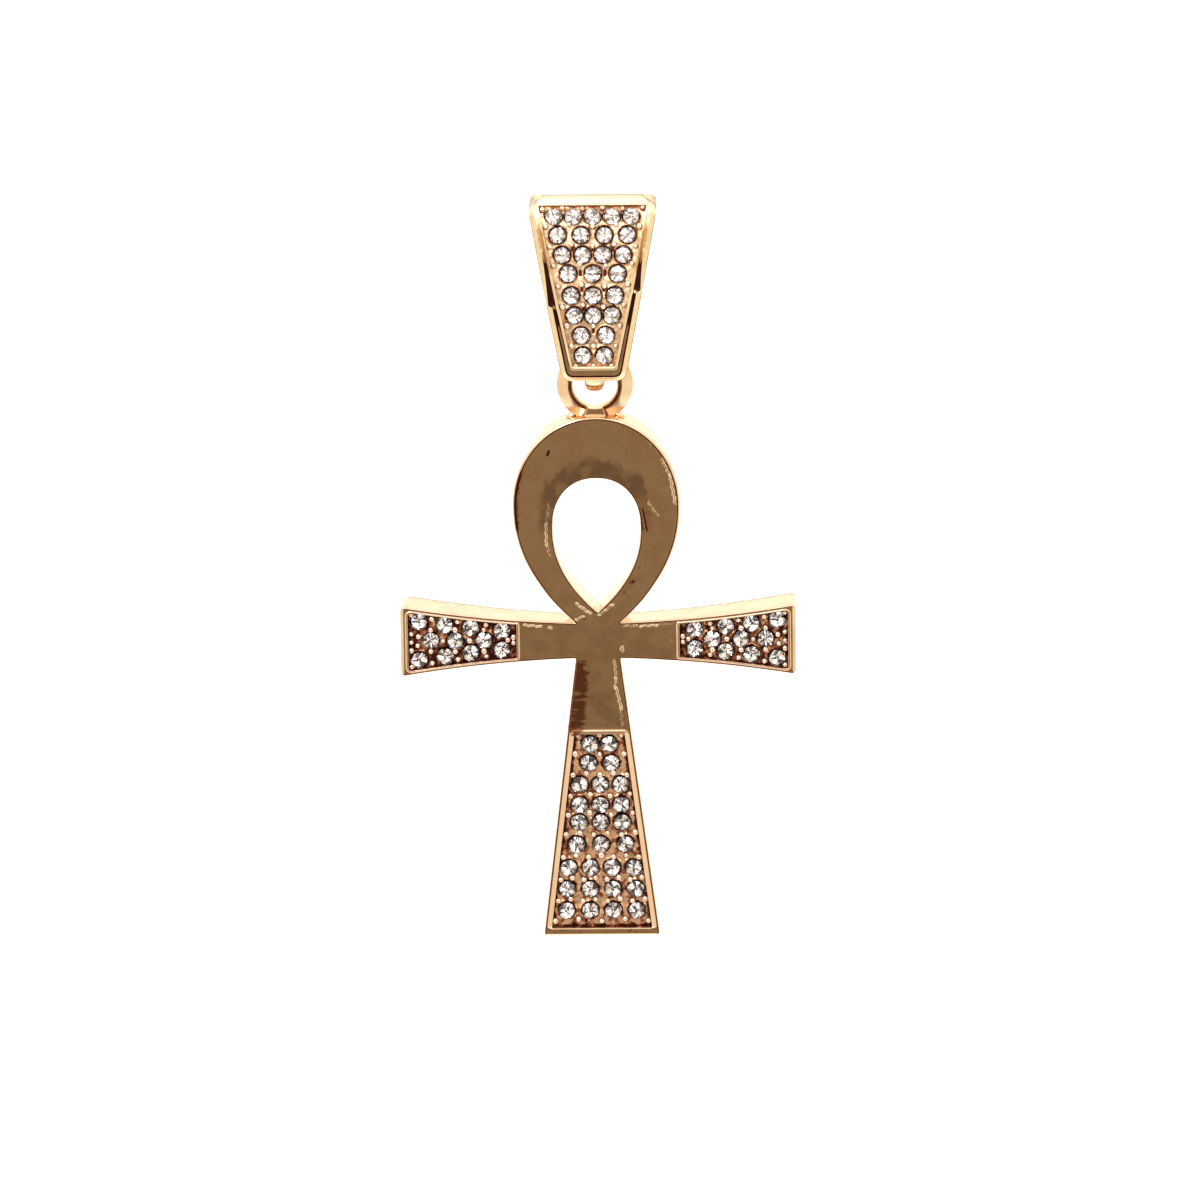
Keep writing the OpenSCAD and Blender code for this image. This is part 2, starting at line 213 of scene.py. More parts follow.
def framed(side: Array, flip: Array, cuts: Sequence[float], first: int = 0) -> Array:
    """Draws a field from one side and its mirror image, with rounded corners.

    Args:
        side: Points of the side, walked counter-clockwise.
        flip: The two factors that mirror it.
        cuts: How far from the start of each line its corner begins to round.
        first: Number of the line that the outline starts with, where 0 is the side.

    Returns:
        Points of the outline, counter-clockwise.
    """
    other = side[::-1] * flip
    lines = [side, np.vstack([side[-1:], other[:1]]), other, np.vstack([other[-1:], side[:1]])]
    return join_rounded(lines[first:] + lines[:first], cuts, FIELD_STEP)


def near(flat: Array, sites: Array) -> Array:
    """Gives the distance of each flat place to the nearest of some sites."""
    parts = np.array_split(flat, max(1, len(flat) // 1000))
    return np.concatenate([np.linalg.norm(part[:, None] - sites[None], axis=2).min(1) for part in parts])


def thinned(places: Array) -> Array:
    """Keeps the first place in each square of a fine grid."""
    _, first = np.unique(np.round(places / FINE_GRID).astype(int), axis=0, return_index=True)
    return places[np.sort(first)]


def inside(flat: Array, loops: list[Array]) -> Array:
    """Tells which places lie inside closed outlines, by counting the edges crossed to their right.

    Args:
        flat: Places, one a row.
        loops: Closed outlines, where one inside another is a hole.

    Returns:
        True for each place that crosses an odd number of edges.
    """
    a = np.vstack(loops)
    b = np.vstack([np.roll(loop, -1, axis=0) for loop in loops])
    result = np.zeros(len(flat), bool)
    for rows in np.array_split(np.arange(len(flat)), max(1, len(flat) // 2000)):
        p = flat[rows][:, None, :]
        spans = (a[None, :, 1] > p[..., 1]) != (b[None, :, 1] > p[..., 1])
        rise = np.where(b[:, 1] == a[:, 1], 1.0, b[:, 1] - a[:, 1])
        cross = a[None, :, 0] + (p[..., 1] - a[None, :, 1]) * ((b[:, 0] - a[:, 0]) / rise)[None, :]
        result[rows] = (spans & (p[..., 0] < cross)).sum(1) % 2 == 1
    return result


def fill(loops: list[Array], extra: Array) -> tuple[Array, Array]:
    """Covers the inside of closed outlines with triangles.

    Args:
        loops: Outlines as rows of two flat values and whatever else goes with a point, where one
            inside another is a hole.
        extra: More points to use inside, as the same rows.

    Returns:
        The points used and the triangles as rows of three point numbers.
    """
    rows = np.vstack(loops + [extra])
    ends = np.cumsum([len(loop) for loop in loops])
    edges = [
        np.stack([np.arange(b - len(loop), b), np.roll(np.arange(b - len(loop), b), -1)], 1)
        for loop, b in zip(loops, ends)
    ]
    made, _, faces, origin, _, _ = delaunay_2d_cdt(
        rows[:, :2].tolist(), np.vstack(edges).tolist(), [], 0, 1e-6
    )
    flat = np.array([tuple(p) for p in made])
    source = np.array([o[0] if len(o) else -1 for o in origin])
    lost = source < 0
    if lost.any():
        gap = np.linalg.norm(flat[lost][:, None, :] - rows[None, :, :2], axis=2)
        source[lost] = gap.argmin(1)
    triangles = np.array(faces)
    keep = inside(flat[triangles].mean(1), [loop[:, :2] for loop in loops])
    return np.column_stack([flat, rows[source, 2:]]), triangles[keep]


def lattice(loops: list[Array], pitch: float, border: float) -> Array:
    """Lays out a grid of places inside closed outlines.

    Args:
        loops: Closed outlines, where one inside another is a hole.
        pitch: Distance between the places, with every second row shifted by half of it.
        border: Least distance to any point of the outlines.

    Returns:
        The places, one a row.
    """
    low, high = loops[0].min(0), loops[0].max(0)
    across, up = np.meshgrid(np.arange(low[0], high[0], pitch), np.arange(low[1], high[1], pitch))
    across = across + (np.arange(len(across)) % 2)[:, None] * pitch / 2
    places = np.stack([across.ravel(), up.ravel()], 1)
    places = places[inside(places, loops)]
    return places[near(places, np.vstack(loops)) > border]


class Face:
    """A front that flat drawings lie on."""

    def place(self, flat: Array, depth: Array) -> Array:
        """Gives the points, in millimetres, of flat places at depths into the metal."""
        raise NotImplementedError

    def stand_on(self, flat: Array, depth: float, shapes: Array) -> Array:
        """Stands a small shape upright on the face at each of some places.

        Args:
            flat: Places, one a row.
            depth: Depth of the face that the shapes stand on.
            shapes: Points (place, point, axis) across, along and out of the face.

        Returns:
            The points in millimetres, with the same rows.
        """
        small = 0.01
        deep = np.full(len(flat), depth)
        origin = self.place(flat, deep)
        across = (self.place(flat + [small, 0], deep) - origin) / small
        along = (self.place(flat + [0, small], deep) - origin) / small
        out = (self.place(flat, deep - small) - origin) / small
        axes = np.stack([across, along, out], 1)
        axes /= np.linalg.norm(axes, axis=2, keepdims=True)
        return origin[:, None, :] + np.einsum("npa,nax->npx", shapes, axes)


@dataclass(frozen=True)
class AnkhFace(Face):
    """The upright front of the ankh, with heights from the middle of its arms."""

    front_y: float
    middle_z: float

    def place(self, flat: Array, depth: Array) -> Array:
        """Gives (across, front + depth, middle + height)."""
        return np.stack([flat[..., 0], self.front_y + depth, self.middle_z + flat[..., 1]], -1)


@dataclass(frozen=True)
class BailFace(Face):
    """The bail's outside: a bowed plate, the roll at its top and the straight back.

    The second flat value s is 0 where the plate meets the roll, below 0 down the plate and above 0
    over the roll and down the back.
    """

    roll_z: float
    roll_r: float = 3.4
    plate_t: float = 1.5
    bow_r: float = 50.0
    lean: float = math.radians(20)
    drop: float = 16.42
    back_foot_y: float = 1.19
    back_t: float = 1.2
    back_foot_up: float = 0.6

    @property
    def foot_z(self) -> float:
        """Height of the lower edge of the plate."""
        return self.roll_z - self.drop

    @property
    def roll_end(self) -> float:
        """Distance s at which the roll meets the back."""
        return self.roll_r * (math.pi - self.lean)

    @property
    def back_length(self) -> float:
        """Length of the straight back."""
        return self.roll_z - (self.foot_z + self.back_foot_up)

    @property
    def bow_centre(self) -> Pair:
        """Depth and height of the middle of the plate's bow."""
        away = self.bow_r - self.roll_r
        return away * math.cos(self.lean), self.roll_z - away * math.sin(self.lean)

    def foot_s(self, up: float = 0.0) -> float:
        """Gives the distance s of a height above the lower edge, by the arc sine of the bow."""
        rise = self.foot_z + up - self.bow_centre[1]
        return (math.asin(rise / self.bow_r) - self.lean) * self.bow_r

    def place(self, flat: Array, depth: Array) -> Array:
        """Bends flat places round the bail.

        Below s = 0 a point lies on the bow, (cy - (R-d) cos a, cz + (R-d) sin a) with a = lean + s/R.
        Up to the roll's end it lies on the roll in the same way, and past it on the straight back.

        Args:
            flat: Places (across, s).
            depth: Depths into the metal.

        Returns:
            The points in millimetres.
        """
        s = flat[..., 1]
        on_bow = s < 0
        centre_y, centre_z = self.bow_centre
        radius = np.where(on_bow, self.bow_r, self.roll_r)
        angle = self.lean + s / radius
        y = np.where(on_bow, centre_y, 0.0) - (radius - depth) * np.cos(angle)
        z = np.where(on_bow, centre_z, self.roll_z) + (radius - depth) * np.sin(angle)
        share = (s - self.roll_end) / self.back_length
        back_y = self.back_foot_y + self.back_t * (1 - depth / self.plate_t)
        y = np.where(share > 0, (self.roll_r - depth) * (1 - share) + back_y * share, y)
        z = np.where(share > 0, self.roll_z - self.back_length * share, z)
        return np.stack([flat[..., 0], y, z], -1)


def attribute(mesh: bpy.types.Mesh, name: str, worth: Array, domain: str = "POINT") -> None:
    """Keeps a number for each POINT or FACE of a mesh, the domain, for its materials to read."""
    layer = mesh.attributes.new(name, "FLOAT", domain)
    layer.data.foreach_set("value", np.ascontiguousarray(worth, dtype=np.float32))


@dataclass
class Shape:
    """A piece while it is being made.

    It holds points in millimetres, how much grime and painted shade lies on each, and faces with their
    finish's number.
    """

    points: list[Array] = field(default_factory=list)
    grime_and_shade: list[Array] = field(default_factory=list)
    faces: list[tuple[Array, int]] = field(default_factory=list)
    count: int = 0

    def add(self, points: Array, faces: Array, finish: int = 0, grime_and_shade: float | Array = 0.0) -> None:
        """Adds points and faces.

        Args:
            points: Points, one a row.
            faces: Rows of three or four point numbers, counted from the first new point.
            finish: Number of the finish in the piece's list of materials.
            grime_and_shade: Share of grime and painted shade on all of the points, or one share for each.
        """
        self.points.append(points.reshape(-1, 3))
        self.grime_and_shade.append(np.broadcast_to(grime_and_shade, points.shape[:-1]).ravel())
        self.faces.append((faces + self.count, finish))
        self.count += len(self.points[-1])

    def sheet(self, rows: Array, finish: int = 0, closed: bool = True, grime_and_shade: float | Array = 0.0) -> None:
        """Adds a grid of quads over rows of points, or one over each of many sets of rows.

        Args:
            rows: Points (row, place in the row, axis), or (set, row, place in the row, axis).
            finish: Number of the finish, 0 for the first one.
            closed: Whether the last point of a row meets its first.
            grime_and_shade: Share of grime and painted shade on all of the points, or one share for each.
        """
        count, width = rows.shape[-3:-1]
        sets = rows.size // (count * width * 3)
        i = np.arange(count - 1)[:, None] * width + np.arange(sets)[:, None, None] * count * width
        j = np.arange(width if closed else width - 1)
        k = (j + 1) % width
        quads = np.stack([i + j, i + k, i + width + k, i + width + j], -1).reshape(-1, 4)
        self.add(rows, quads, finish, grime_and_shade)

    def cover(self, face: Face, loops: list[Array], extra: Array, finish: int = 0) -> None:
        """Covers outlines on a face, whose rows are two flat values, a depth and a share of grime and painted
        shade.
        """
        rows, triangles = fill(loops, extra)
        self.add(face.place(rows[:, :2], rows[:, 2]), triangles, finish, rows[:, 3])

    def build(self, name: str, materials: list[Material], flat: bool = False) -> bpy.types.Object:
        """Makes the mesh object, merges its doubles and turns its faces outwards.

        Args:
            name: Name of the piece.
            materials: Its materials, in the order of the finishes' numbers.
            flat: Whether facets stay flat instead of smooth.

        Returns:
            The new object, with its place in its mesh.
        """
        mesh = bpy.data.meshes.new(name)
        points = np.vstack(self.points) * MM
        sizes = np.concatenate([np.full(len(rows), rows.shape[1]) for rows, _ in self.faces])
        finishes = np.concatenate([np.full(len(rows), finish) for rows, finish in self.faces])
        corners = np.concatenate([rows.ravel() for rows, _ in self.faces])
        mesh.vertices.add(len(points))
        mesh.vertices.foreach_set("co", points.ravel())
        mesh.loops.add(len(corners))
        mesh.loops.foreach_set("vertex_index", corners.astype(np.int32))
        mesh.polygons.add(len(sizes))
        starts = np.concatenate([[0], np.cumsum(sizes)[:-1]])
        mesh.polygons.foreach_set("loop_start", starts.astype(np.int32))
        mesh.polygons.foreach_set("material_index", finishes.astype(np.int32))
        mesh.update(calc_edges=True)
        mesh.validate()
        attribute(mesh, "grime_and_shade", np.concatenate(self.grime_and_shade))
        work = bmesh.new()
        work.from_mesh(mesh)
        bmesh.ops.remove_doubles(work, verts=work.verts, dist=MERGE_DISTANCE)
        bmesh.ops.dissolve_degenerate(work, edges=work.edges, dist=MERGE_DISTANCE / 10)
        bmesh.ops.recalc_face_normals(work, faces=work.faces)
        work.to_mesh(mesh)
        work.free()
        for material in materials:
            mesh.materials.append(material)
        if flat:
            mesh.shade_flat()
        else:
            mesh.shade_smooth()
            mesh.set_sharp_from_angle(angle=SHARP_ANGLE)
        piece = bpy.data.objects.new(name, mesh)
        bpy.context.scene.collection.objects.link(piece)
        return piece


def points_of(piece: bpy.types.Object) -> Array:
    """Gives the points of a piece.

    Args:
        piece: The piece.

    Returns:
        Its points in millimetres, one a row.
    """
    flat = np.empty(len(piece.data.vertices) * 3, np.float32)
    piece.data.vertices.foreach_get("co", flat)
    return flat.reshape(-1, 3).astype(float) / MM


@dataclass(frozen=True)
class StoneSize:
    """Sizes of a round cut stone and of the seat and beads that hold it."""

    diameter: float = 1.88
    crown: float = 0.3
    girdle: float = 0.06
    pavilion: float = 0.5
    table_share: float = 0.52
    keel_share: float = 0.28
    back_slope: float = 0.25
    table_drop: float = 0.06
    most_lean: float = 0.075
    seat_gap: float = 0.06
    seat_shift: float = 0.05
    seat_depth: float = 0.8
    seat_cone: float = 0.12
    bead_r: float = 0.325
    bead_top: float = 0.06
    bead_dimple: float = 0.09
    bead_gap: float = 0.02
    bead_border: float = 0.06

    @property
    def radius(self) -> float:
        """Half the diameter."""
        return self.diameter / 2

    @property
    def seat_r(self) -> float:
        """Radius of the seat's rim."""
        return self.radius + self.seat_gap


@dataclass(frozen=True)
class RimLine:
    """The raised rim round a field, point by point along its outline.

    width and height give the ridge, base the depth of the metal outside it, soil_and_shade the painted shade
    there, and lean how far the crest leans towards the field: 1 for a half round, and more for a long slope
    outside.
    chamfer is how far the inner end lies below the outer one, and apron the width of the dark line of painted
    shade outside.
    """

    width: Array
    height: Array
    base: Array
    soil_and_shade: Array | float = 0.0
    lean: Array | float = 2.2
    chamfer: Array | float = 0.0
    apron: float = 0.03


@dataclass
class StoneField:
    """A sunk field of a casting, with its raised rim, its floor, its seats, its beads and its stones.

    The outline runs counter-clockwise along the top of the field's wall. bare is the share of the floor
    left clear of grime and painted shade, wall_shade the painted shade on the wall, corner_soil_and_shade the
    grime and painted shade in the floor's nooks beside it, and slots are narrow gaps darkened by painted
    shade.
    """

    name: str
    face: Face
    outline: Array
    stones: Array
    beads: Array
    rim: RimLine
    stone: StoneSize
    bare: float = 0.4
    wall_shade: float = 1.0
    corner_soil_and_shade: float = 0.9
    slots: tuple["Mark", ...] = ()
    floor_depth: float = 0.6
    collar_height: float = 0.34
    collar_out: float = 0.10
    collar_width: float = 0.085
    seat_shade_reach: float = 0.12
    slot_drop: float = 0.12
    wall_slope: float = 0.02
    wall_top: float = 0.06

    @property
    def seats(self) -> Array:
        """Middles of the seats, which lie a little above the stones'."""
        return self.stones + [0, self.stone.seat_shift]

    def collar_at(self, flat: Array) -> Array:
        """Gives the height share of the collars, thin ridges round parts of each seat.

        It is a bell over the distance from the seat's edge, kept where a wave round the stone is high.

        Args:
            flat: Places, one a row.

        Returns:
            A share from 0 to 1 for each place.
        """
        span = flat[:, None, :] - self.seats[None, :, :]
        away = np.linalg.norm(span, axis=2)
        which = away.argmin(1)
        row = np.arange(len(flat))
        gap = np.maximum(away[row, which] - self.stone.seat_r, 0)
        turn = np.arctan2(span[row, which, 1], span[row, which, 0])
        wave = 0.5 + 0.5 * np.sin(turn * (1 + which % 2) + which * 2.4)
        return bell(gap - self.collar_out, self.collar_width) * smooth(wave, 0.30, 0.62)

    def floor_at(self, flat: Array) -> Array:
        """Gives rows of the floor's depth and of its grime and painted shade at flat places.

        The floor rolls by two products of waves. Grime and painted shade follow two crossed waves, painted
        shadow gathers round the seats, in the slots and in the nooks by the wall, and all of it keeps off the
        collars. A slot is a little deeper.

        Args:
            flat: Places, one a row.

        Returns:
            Depth and share of grime and painted shade of each place.
        """
        u, v = flat[:, 0], flat[:, 1]
        collar = self.collar_at(flat)
        wave = np.sin(1.9 * u + 1.3 * np.sin(1.3 * v + 1)) * np.sin(2.3 * v + 1.1 * np.sin(1.7 * u))
        wave = 0.5 + 0.5 * wave
        gap = near(flat, self.seats) - self.stone.seat_r
        # Painted shadow in the gap round each seat, and painted shade in the nooks by the wall.
        round_seat = bell(np.maximum(gap, 0), self.seat_shade_reach)
        nook = smooth(gap, 0.18, 0.45) * (1 - smooth(near(flat, self.outline), 0.15, 0.6))
        uneven = 0.03 * np.sin(u * 3.3 + 1.2 * np.sin(v * 2.1)) * np.sin(v * 2.7)
        uneven += 0.03 * np.sin(u * 6.3 + 1.7 * np.sin(v * 2.9)) * np.sin(v * 5.7 + 0.8)
        depth = self.floor_depth - self.collar_height * collar + uneven
        grime_and_shade = (1 - self.bare) * (0.35 + 0.95 * wave) * (1 - 0.9 * collar)
        grime_and_shade = np.maximum(np.maximum(grime_and_shade, round_seat), self.corner_soil_and_shade * nook)
        if self.slots:
            slot = np.clip(marks_at(flat, self.slots), 0, 1)
            depth, grime_and_shade = depth + self.slot_drop * slot, np.maximum(grime_and_shade, slot)
        return np.stack([depth, grime_and_shade], 1)

    def add_rim(self, shape: Shape) -> Array:
        """Adds the ridge and the wall of the field.

        The ridge is a leaning half round: its reach out from the wall is width ((1 + cos t) / 2)^lean
        and its height is height sin t, for t from 0 to a half turn. A chamfer lowers it evenly towards the
        field. The wall falls to the floor.

        Args:
            shape: The casting.

        Returns:
            The ridge's outer foot as rows of two flat values, a depth and a share of grime and painted shade.
        """
        out = outward(self.outline)
        t = np.linspace(0, math.pi, 11)[:, None]
        share = (1 + np.cos(t)) / 2
        reach = np.vstack([[self.rim.width + self.rim.apron], self.rim.width * share**self.rim.lean])
        depth = self.rim.base * share - self.rim.height * np.sin(t) + self.rim.chamfer * (1 - share)
        depth = np.vstack([[self.rim.base], depth])
        foot = self.outline - out * self.wall_slope
        below = self.floor_at(foot)[:, 0]
        low = np.full(len(below), -self.wall_slope)
        top = self.wall_top + self.rim.chamfer + 0 * low
        reach = np.vstack([reach, [low * 0, low, low]])
        depth = np.vstack([depth, [top, (top + below) / 2, below]])
        grime_and_shade = np.zeros_like(depth)
        # A dark line of painted shade at the ridge's outer foot, and painted shade down the wall.
        grime_and_shade[0], grime_and_shade[1], grime_and_shade[2] = self.rim.soil_and_shade, 0.95, 0.25
        grime_and_shade[:3] *= self.rim.base >= 0
        grime_and_shade[-4:] = np.array([0.15, 0.8, self.wall_shade, self.wall_shade])[:, None]
        flat = self.outline[None] + out[None] * reach[..., None]
        rows = self.face.place(flat, depth)
        wall = len(rows) - 3
        shape.sheet(rows[: wall + 1], grime_and_shade=grime_and_shade[: wall + 1])
        shape.sheet(rows[wall:], Skin.FLOOR, grime_and_shade=grime_and_shade[wall:])
        return np.column_stack([flat[0], depth[0], grime_and_shade[0]])

    def add_floor(self, shape: Shape) -> None:
        """Adds the floor with a round seat under each stone, and the seats' walls and bottoms.

        Args:
            shape: The casting.
        """
        out = outward(self.outline)
        edge = self.outline - out * self.wall_slope
        seat_r = self.stone.seat_r
        sides = 24
        seats = self.seats[:, None, :] + circle(sides)[None] * seat_r
        loops = [edge] + list(seats)
        around = seat_r + np.array([0.05, 0.10, 0.16, 0.23])
        rings = [(self.seats[:, None, :] + circle(sides)[None] * reach).reshape(-1, 2) for reach in around]
        dense = [around_mark(slot, 0.08, 7, 1.6) for slot in self.slots]
        extra = np.vstack(dense + rings + [lattice([edge], 0.2, 0.08)])
        extra = extra[inside(extra, [self.outline - out * 0.08])]
        extra = thinned(extra[near(extra, self.seats) > seat_r + 0.035])
        rows = [np.column_stack([loop, self.floor_at(loop)]) for loop in loops]
        # The seats' rims are fully dark with painted shadow; the floor's outer edge takes the wall's painted
        # shade.
        for row, soil_and_shade in zip(rows, [self.wall_shade] + [1.0] * len(seats)):
            row[:, 3] = soil_and_shade
        shape.cover(self.face, rows, np.column_stack([extra, self.floor_at(extra)]), Skin.FLOOR)
        top = np.stack([row[:, 2] for row in rows[1:]])
        low = np.full_like(top, self.stone.seat_depth)
        middle = np.repeat(self.seats[:, None, :], sides, axis=1)
        flat = np.stack([seats, seats, middle], 1)
        depth = np.stack([top, low, low + self.stone.seat_cone], 1)
        # The seats' walls and bottoms are dark with painted shade.
        shape.sheet(self.face.place(flat, depth), Skin.FLOOR, grime_and_shade=1.0)

    def add_beads(self, shape: Shape) -> None:
        """Adds a bead at each of its places: a post with a round top, closed below the floor.

        Its radius is r at the floor and r cos t over the top, at the height top - 0.8 r (1 - sin t), with a
        small dimple in its middle.

        Args:
            shape: The casting.
        """
        r = self.stone.bead_r
        tall = self.floor_depth - self.stone.bead_top
        t = np.array([0.0, 0.45, 0.85, 1.2, 1.57])
        radii = np.concatenate([[0.0, r * 1.1, r * 1.02], r * np.cos(t) * [1, 1, 1, 1, 0]])
        heights = np.concatenate([[-0.25, -0.25, tall * 0.25], tall - r * 0.8 * (1 - np.sin(t))])
        heights[-1] -= self.stone.bead_dimple
        # Painted shade at each bead's foot and a painted dark reflection in its dimple.
        soil_and_shade = np.array([1, 1, 0.9, 0.3, 0, 0, 0, 0.7])
        ring = np.column_stack([circle(10), np.zeros(10)])
        up = np.array([0, 0, 1.0])
        rows = ring[None] * radii[:, None, None] + up * heights[:, None, None]
        total = len(self.beads)
        dice = np.random.default_rng(total)
        wide = dice.uniform(0.84, 1.08, (total, 1, 1, 1))
        long = wide * dice.uniform(0.92, 1.12, (total, 1, 1, 1))
        lift = dice.uniform(-0.08, 0.04, (total, 1, 1, 1))
        shapes = rows[None] * np.concatenate([wide, long, np.ones_like(wide)], 3)
        shapes = shapes + lift * up * (heights > 0)[None, :, None, None]
        placed = self.face.stand_on(self.beads, self.floor_depth, shapes.reshape(total, -1, 3))
        grime_and_shade = np.broadcast_to(soil_and_shade[None, :, None], shapes.shape[:3])
        shape.sheet(placed.reshape(shapes.shape), Skin.BEAD, grime_and_shade=grime_and_shade)

    def dress_stones(self, body: Body, materials: list[Material]) -> None:
        """Builds the field's stones as one piece, each turned and tilted a little in its seat.

        Args:
            body: The body that it rides on.
            materials: Finishes of the crowns and of the foiled backs.
        """
        shape = Shape()
        template, crown, foil, facet = cut_stone(self.stone)
        total = len(self.stones)
        dice = np.random.default_rng(total * 7 + 3)
        turn = dice.uniform(0, 2 * math.pi, total)[:, None]
        lean = np.clip(dice.normal(0, 0.05, (total, 2)), -self.stone.most_lean, self.stone.most_lean)
        across, along, height = template.T[:, None, :]
        x = across * np.cos(turn) - along * np.sin(turn)
        y = across * np.sin(turn) + along * np.cos(turn)
        z = height - self.stone.table_drop + x * lean[:, :1] + y * lean[:, 1:]
        placed = self.face.stand_on(self.stones, 0.0, np.stack([x, y, z], 2))
        shift = np.arange(total)[:, None, None] * len(template)
        shape.add(placed.reshape(-1, 3), (crown[None] + shift).reshape(-1, 3), Cut.CROWN)
        shape.faces.append(((foil[None] + shift).reshape(-1, 3), Cut.FOIL))
        piece = shape.build(f"{self.name}_crystals", materials, flat=True)
        middles = placed.mean(1)
        which = np.array([np.argmin(((middles - p) ** 2).sum(1)) for p in points_of(piece)])
        attribute(piece.data, "tint", dice.uniform(0, 1, total)[which])
        below = [dice.permuted(np.tile(np.linspace(0.06, 0.97, n), (total, 1)), axis=1) for n in (12, 6, 6)]
        tones = np.concatenate([np.zeros(total * len(crown)), np.hstack(below)[:, facet].ravel()])
        attribute(piece.data, "facet", tones, "FACE")
        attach(piece, body.value)
        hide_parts(f"{self.name}_stones")
        log.info("%s: %d stones, %d faces", piece.name, total, len(piece.data.polygons))


def cut_stone(size: StoneSize) -> tuple[Array, Array, Array, Array]:
    """Cuts a round stone with a table and 8 facets above, and with 6 facets and a short cone below.

    A facet is a plane whose height is end - slope (r cos d), where d is the turn from its middle, so
    the girdle's edges rise and fall a little round the stone.

    Args:
        size: Sizes of the stone.

    Returns:
        Its points with the table at height 0, the triangles of its upper and of its lower side, and the
        number of the facet that each lower triangle lies in.
    """
    r = size.radius
    table_r, keel_r = r * size.table_share, r * size.keel_share
    turn = np.arange(24) * math.pi / 12
    off_upper = turn % (math.pi / 4) - math.pi / 8
    off_lower = turn % (math.pi / 3) - math.pi / 6
    flat_r = table_r * math.cos(math.pi / 8)
    upper_z = -size.crown * (r * np.cos(off_upper) - flat_r) / (r - flat_r)
    low_z = -size.crown - size.girdle
    lower_z = low_z - size.back_slope * r * (1 - np.cos(off_lower))
    keel_z = low_z - size.back_slope * (r - keel_r * math.cos(math.pi / 6))

    def ring(radius: float, angles: Array, heights: float | Array) -> Array:
        """Gives points at one radius."""
        return np.stack([radius * np.cos(angles), radius * np.sin(angles), heights + 0 * angles], 1)

    i, m, j = np.arange(8), np.arange(6), np.arange(24)
    points = np.vstack([
        ring(table_r, i * math.pi / 4, 0.0),
        ring(r, turn, upper_z),
        ring(r, turn, lower_z),
        ring(keel_r, m * math.pi / 3, keel_z),
        [[0, 0, low_z - size.pavilion], [0, 0, 0]],
    ])
    upper, lower, keel, culet, centre = 8, 32, 56, 62, 63
    after = (j + 1) % 24
    table_end = (j // 3 + (j % 3 == 2)) % 8
    keel_end = (j // 4 + (j % 4 > 1)) % 6
    above = [
        np.stack([np.full(8, centre), i, (i + 1) % 8], 1),
        np.stack([table_end, upper + j, upper + after], 1),
        np.stack([i, upper + 3 * i + 2, (i + 1) % 8], 1),
        np.stack([upper + j, lower + j, lower + after], 1),
        np.stack([upper + j, lower + after, upper + after], 1),
    ]
    below = [
        np.stack([keel + keel_end, lower + after, lower + j], 1),
        np.stack([keel + (m + 1) % 6, lower + 4 * m + 2, keel + m], 1),
        np.stack([np.full(6, culet), keel + (m + 1) % 6, keel + m], 1),
    ]
    facet = np.concatenate([j // 2, m + 12, m + 18])
    return points, np.vstack(above), np.vstack(below), facet


def clear_of(places: Array, stones: Array, stone: StoneSize) -> Array:
    """Keeps the places of beads that clear the stones."""
    return places[near(places, stones) > stone.radius + stone.bead_gap]


def set_rows(
    plan: RowPlan,
    counts: tuple[int, ...],
    half_at: Callable[[Array], Array],
    top: float,
    length: float,
    ends: Pair,
    stone: StoneSize,
) -> tuple[list[Array], Array]:
    """Sets rows of stones across a field, with beads above, between and below the rows.

    Stones and beads are spread evenly over a row. Beads stand alternately a little higher and lower.

    Args:
        plan: For each row its number of stones, its reach to either side as a share of half the field's
            width, and its distance from the top as a share of the length.
        counts: Number of beads in each gap between rows, from above the first to below the last.
        half_at: Gives half the field's width at a level.
        top: Level that the shares are counted from, downwards.
        length: Length that they are shares of.
        ends: Levels at which the width is taken for the first and the last beads.
        stone: Sizes of stones and beads.

    Returns:
        The stones of each row from the top down, and the places of the beads that clear them.
    """
    rows = []
    for count, reach, share in plan:
        level = top - share * length
        half = half_at(level)
        rows.append(np.stack([np.linspace(-reach * half, reach * half, count), np.full(count, level)], 1))
    heights = np.array([row[0, 1] for row in rows])
    between = (heights[1:] + heights[:-1]) / 2
    pitch = stone.radius + stone.bead_r * 0.6
    levels = np.concatenate([[heights[0] + pitch], between, [heights[-1] - pitch]])
    halves = half_at(np.concatenate([ends[:1], between, ends[1:]])) - (stone.bead_r + stone.bead_border)
    sites = []
    for level, half, count in zip(levels, halves, counts):
        up = level + 0.11 * np.where(np.arange(count) % 2, 1, -1) * (count > 3)
        sites.append(np.stack([np.linspace(-half, half, count), up], 1))
    return rows, clear_of(np.vstack(sites), np.vstack(rows), stone)


@dataclass(frozen=True)
class Mark:
    """A ripple, pit, stain, slot or streak: a straight stretch with a width and a height or strength."""

    start: Pair
    end: Pair
    width: float
    worth: float

    @property
    def length(self) -> float:
        """Length of the stretch."""
        return math.dist(self.start, self.end)

    @property
    def axes(self) -> tuple[Array, Array]:
        """Directions along the stretch and to its left."""
        run = (np.array(self.end) - np.array(self.start)) / self.length
        return run, np.array([-run[1], run[0]])


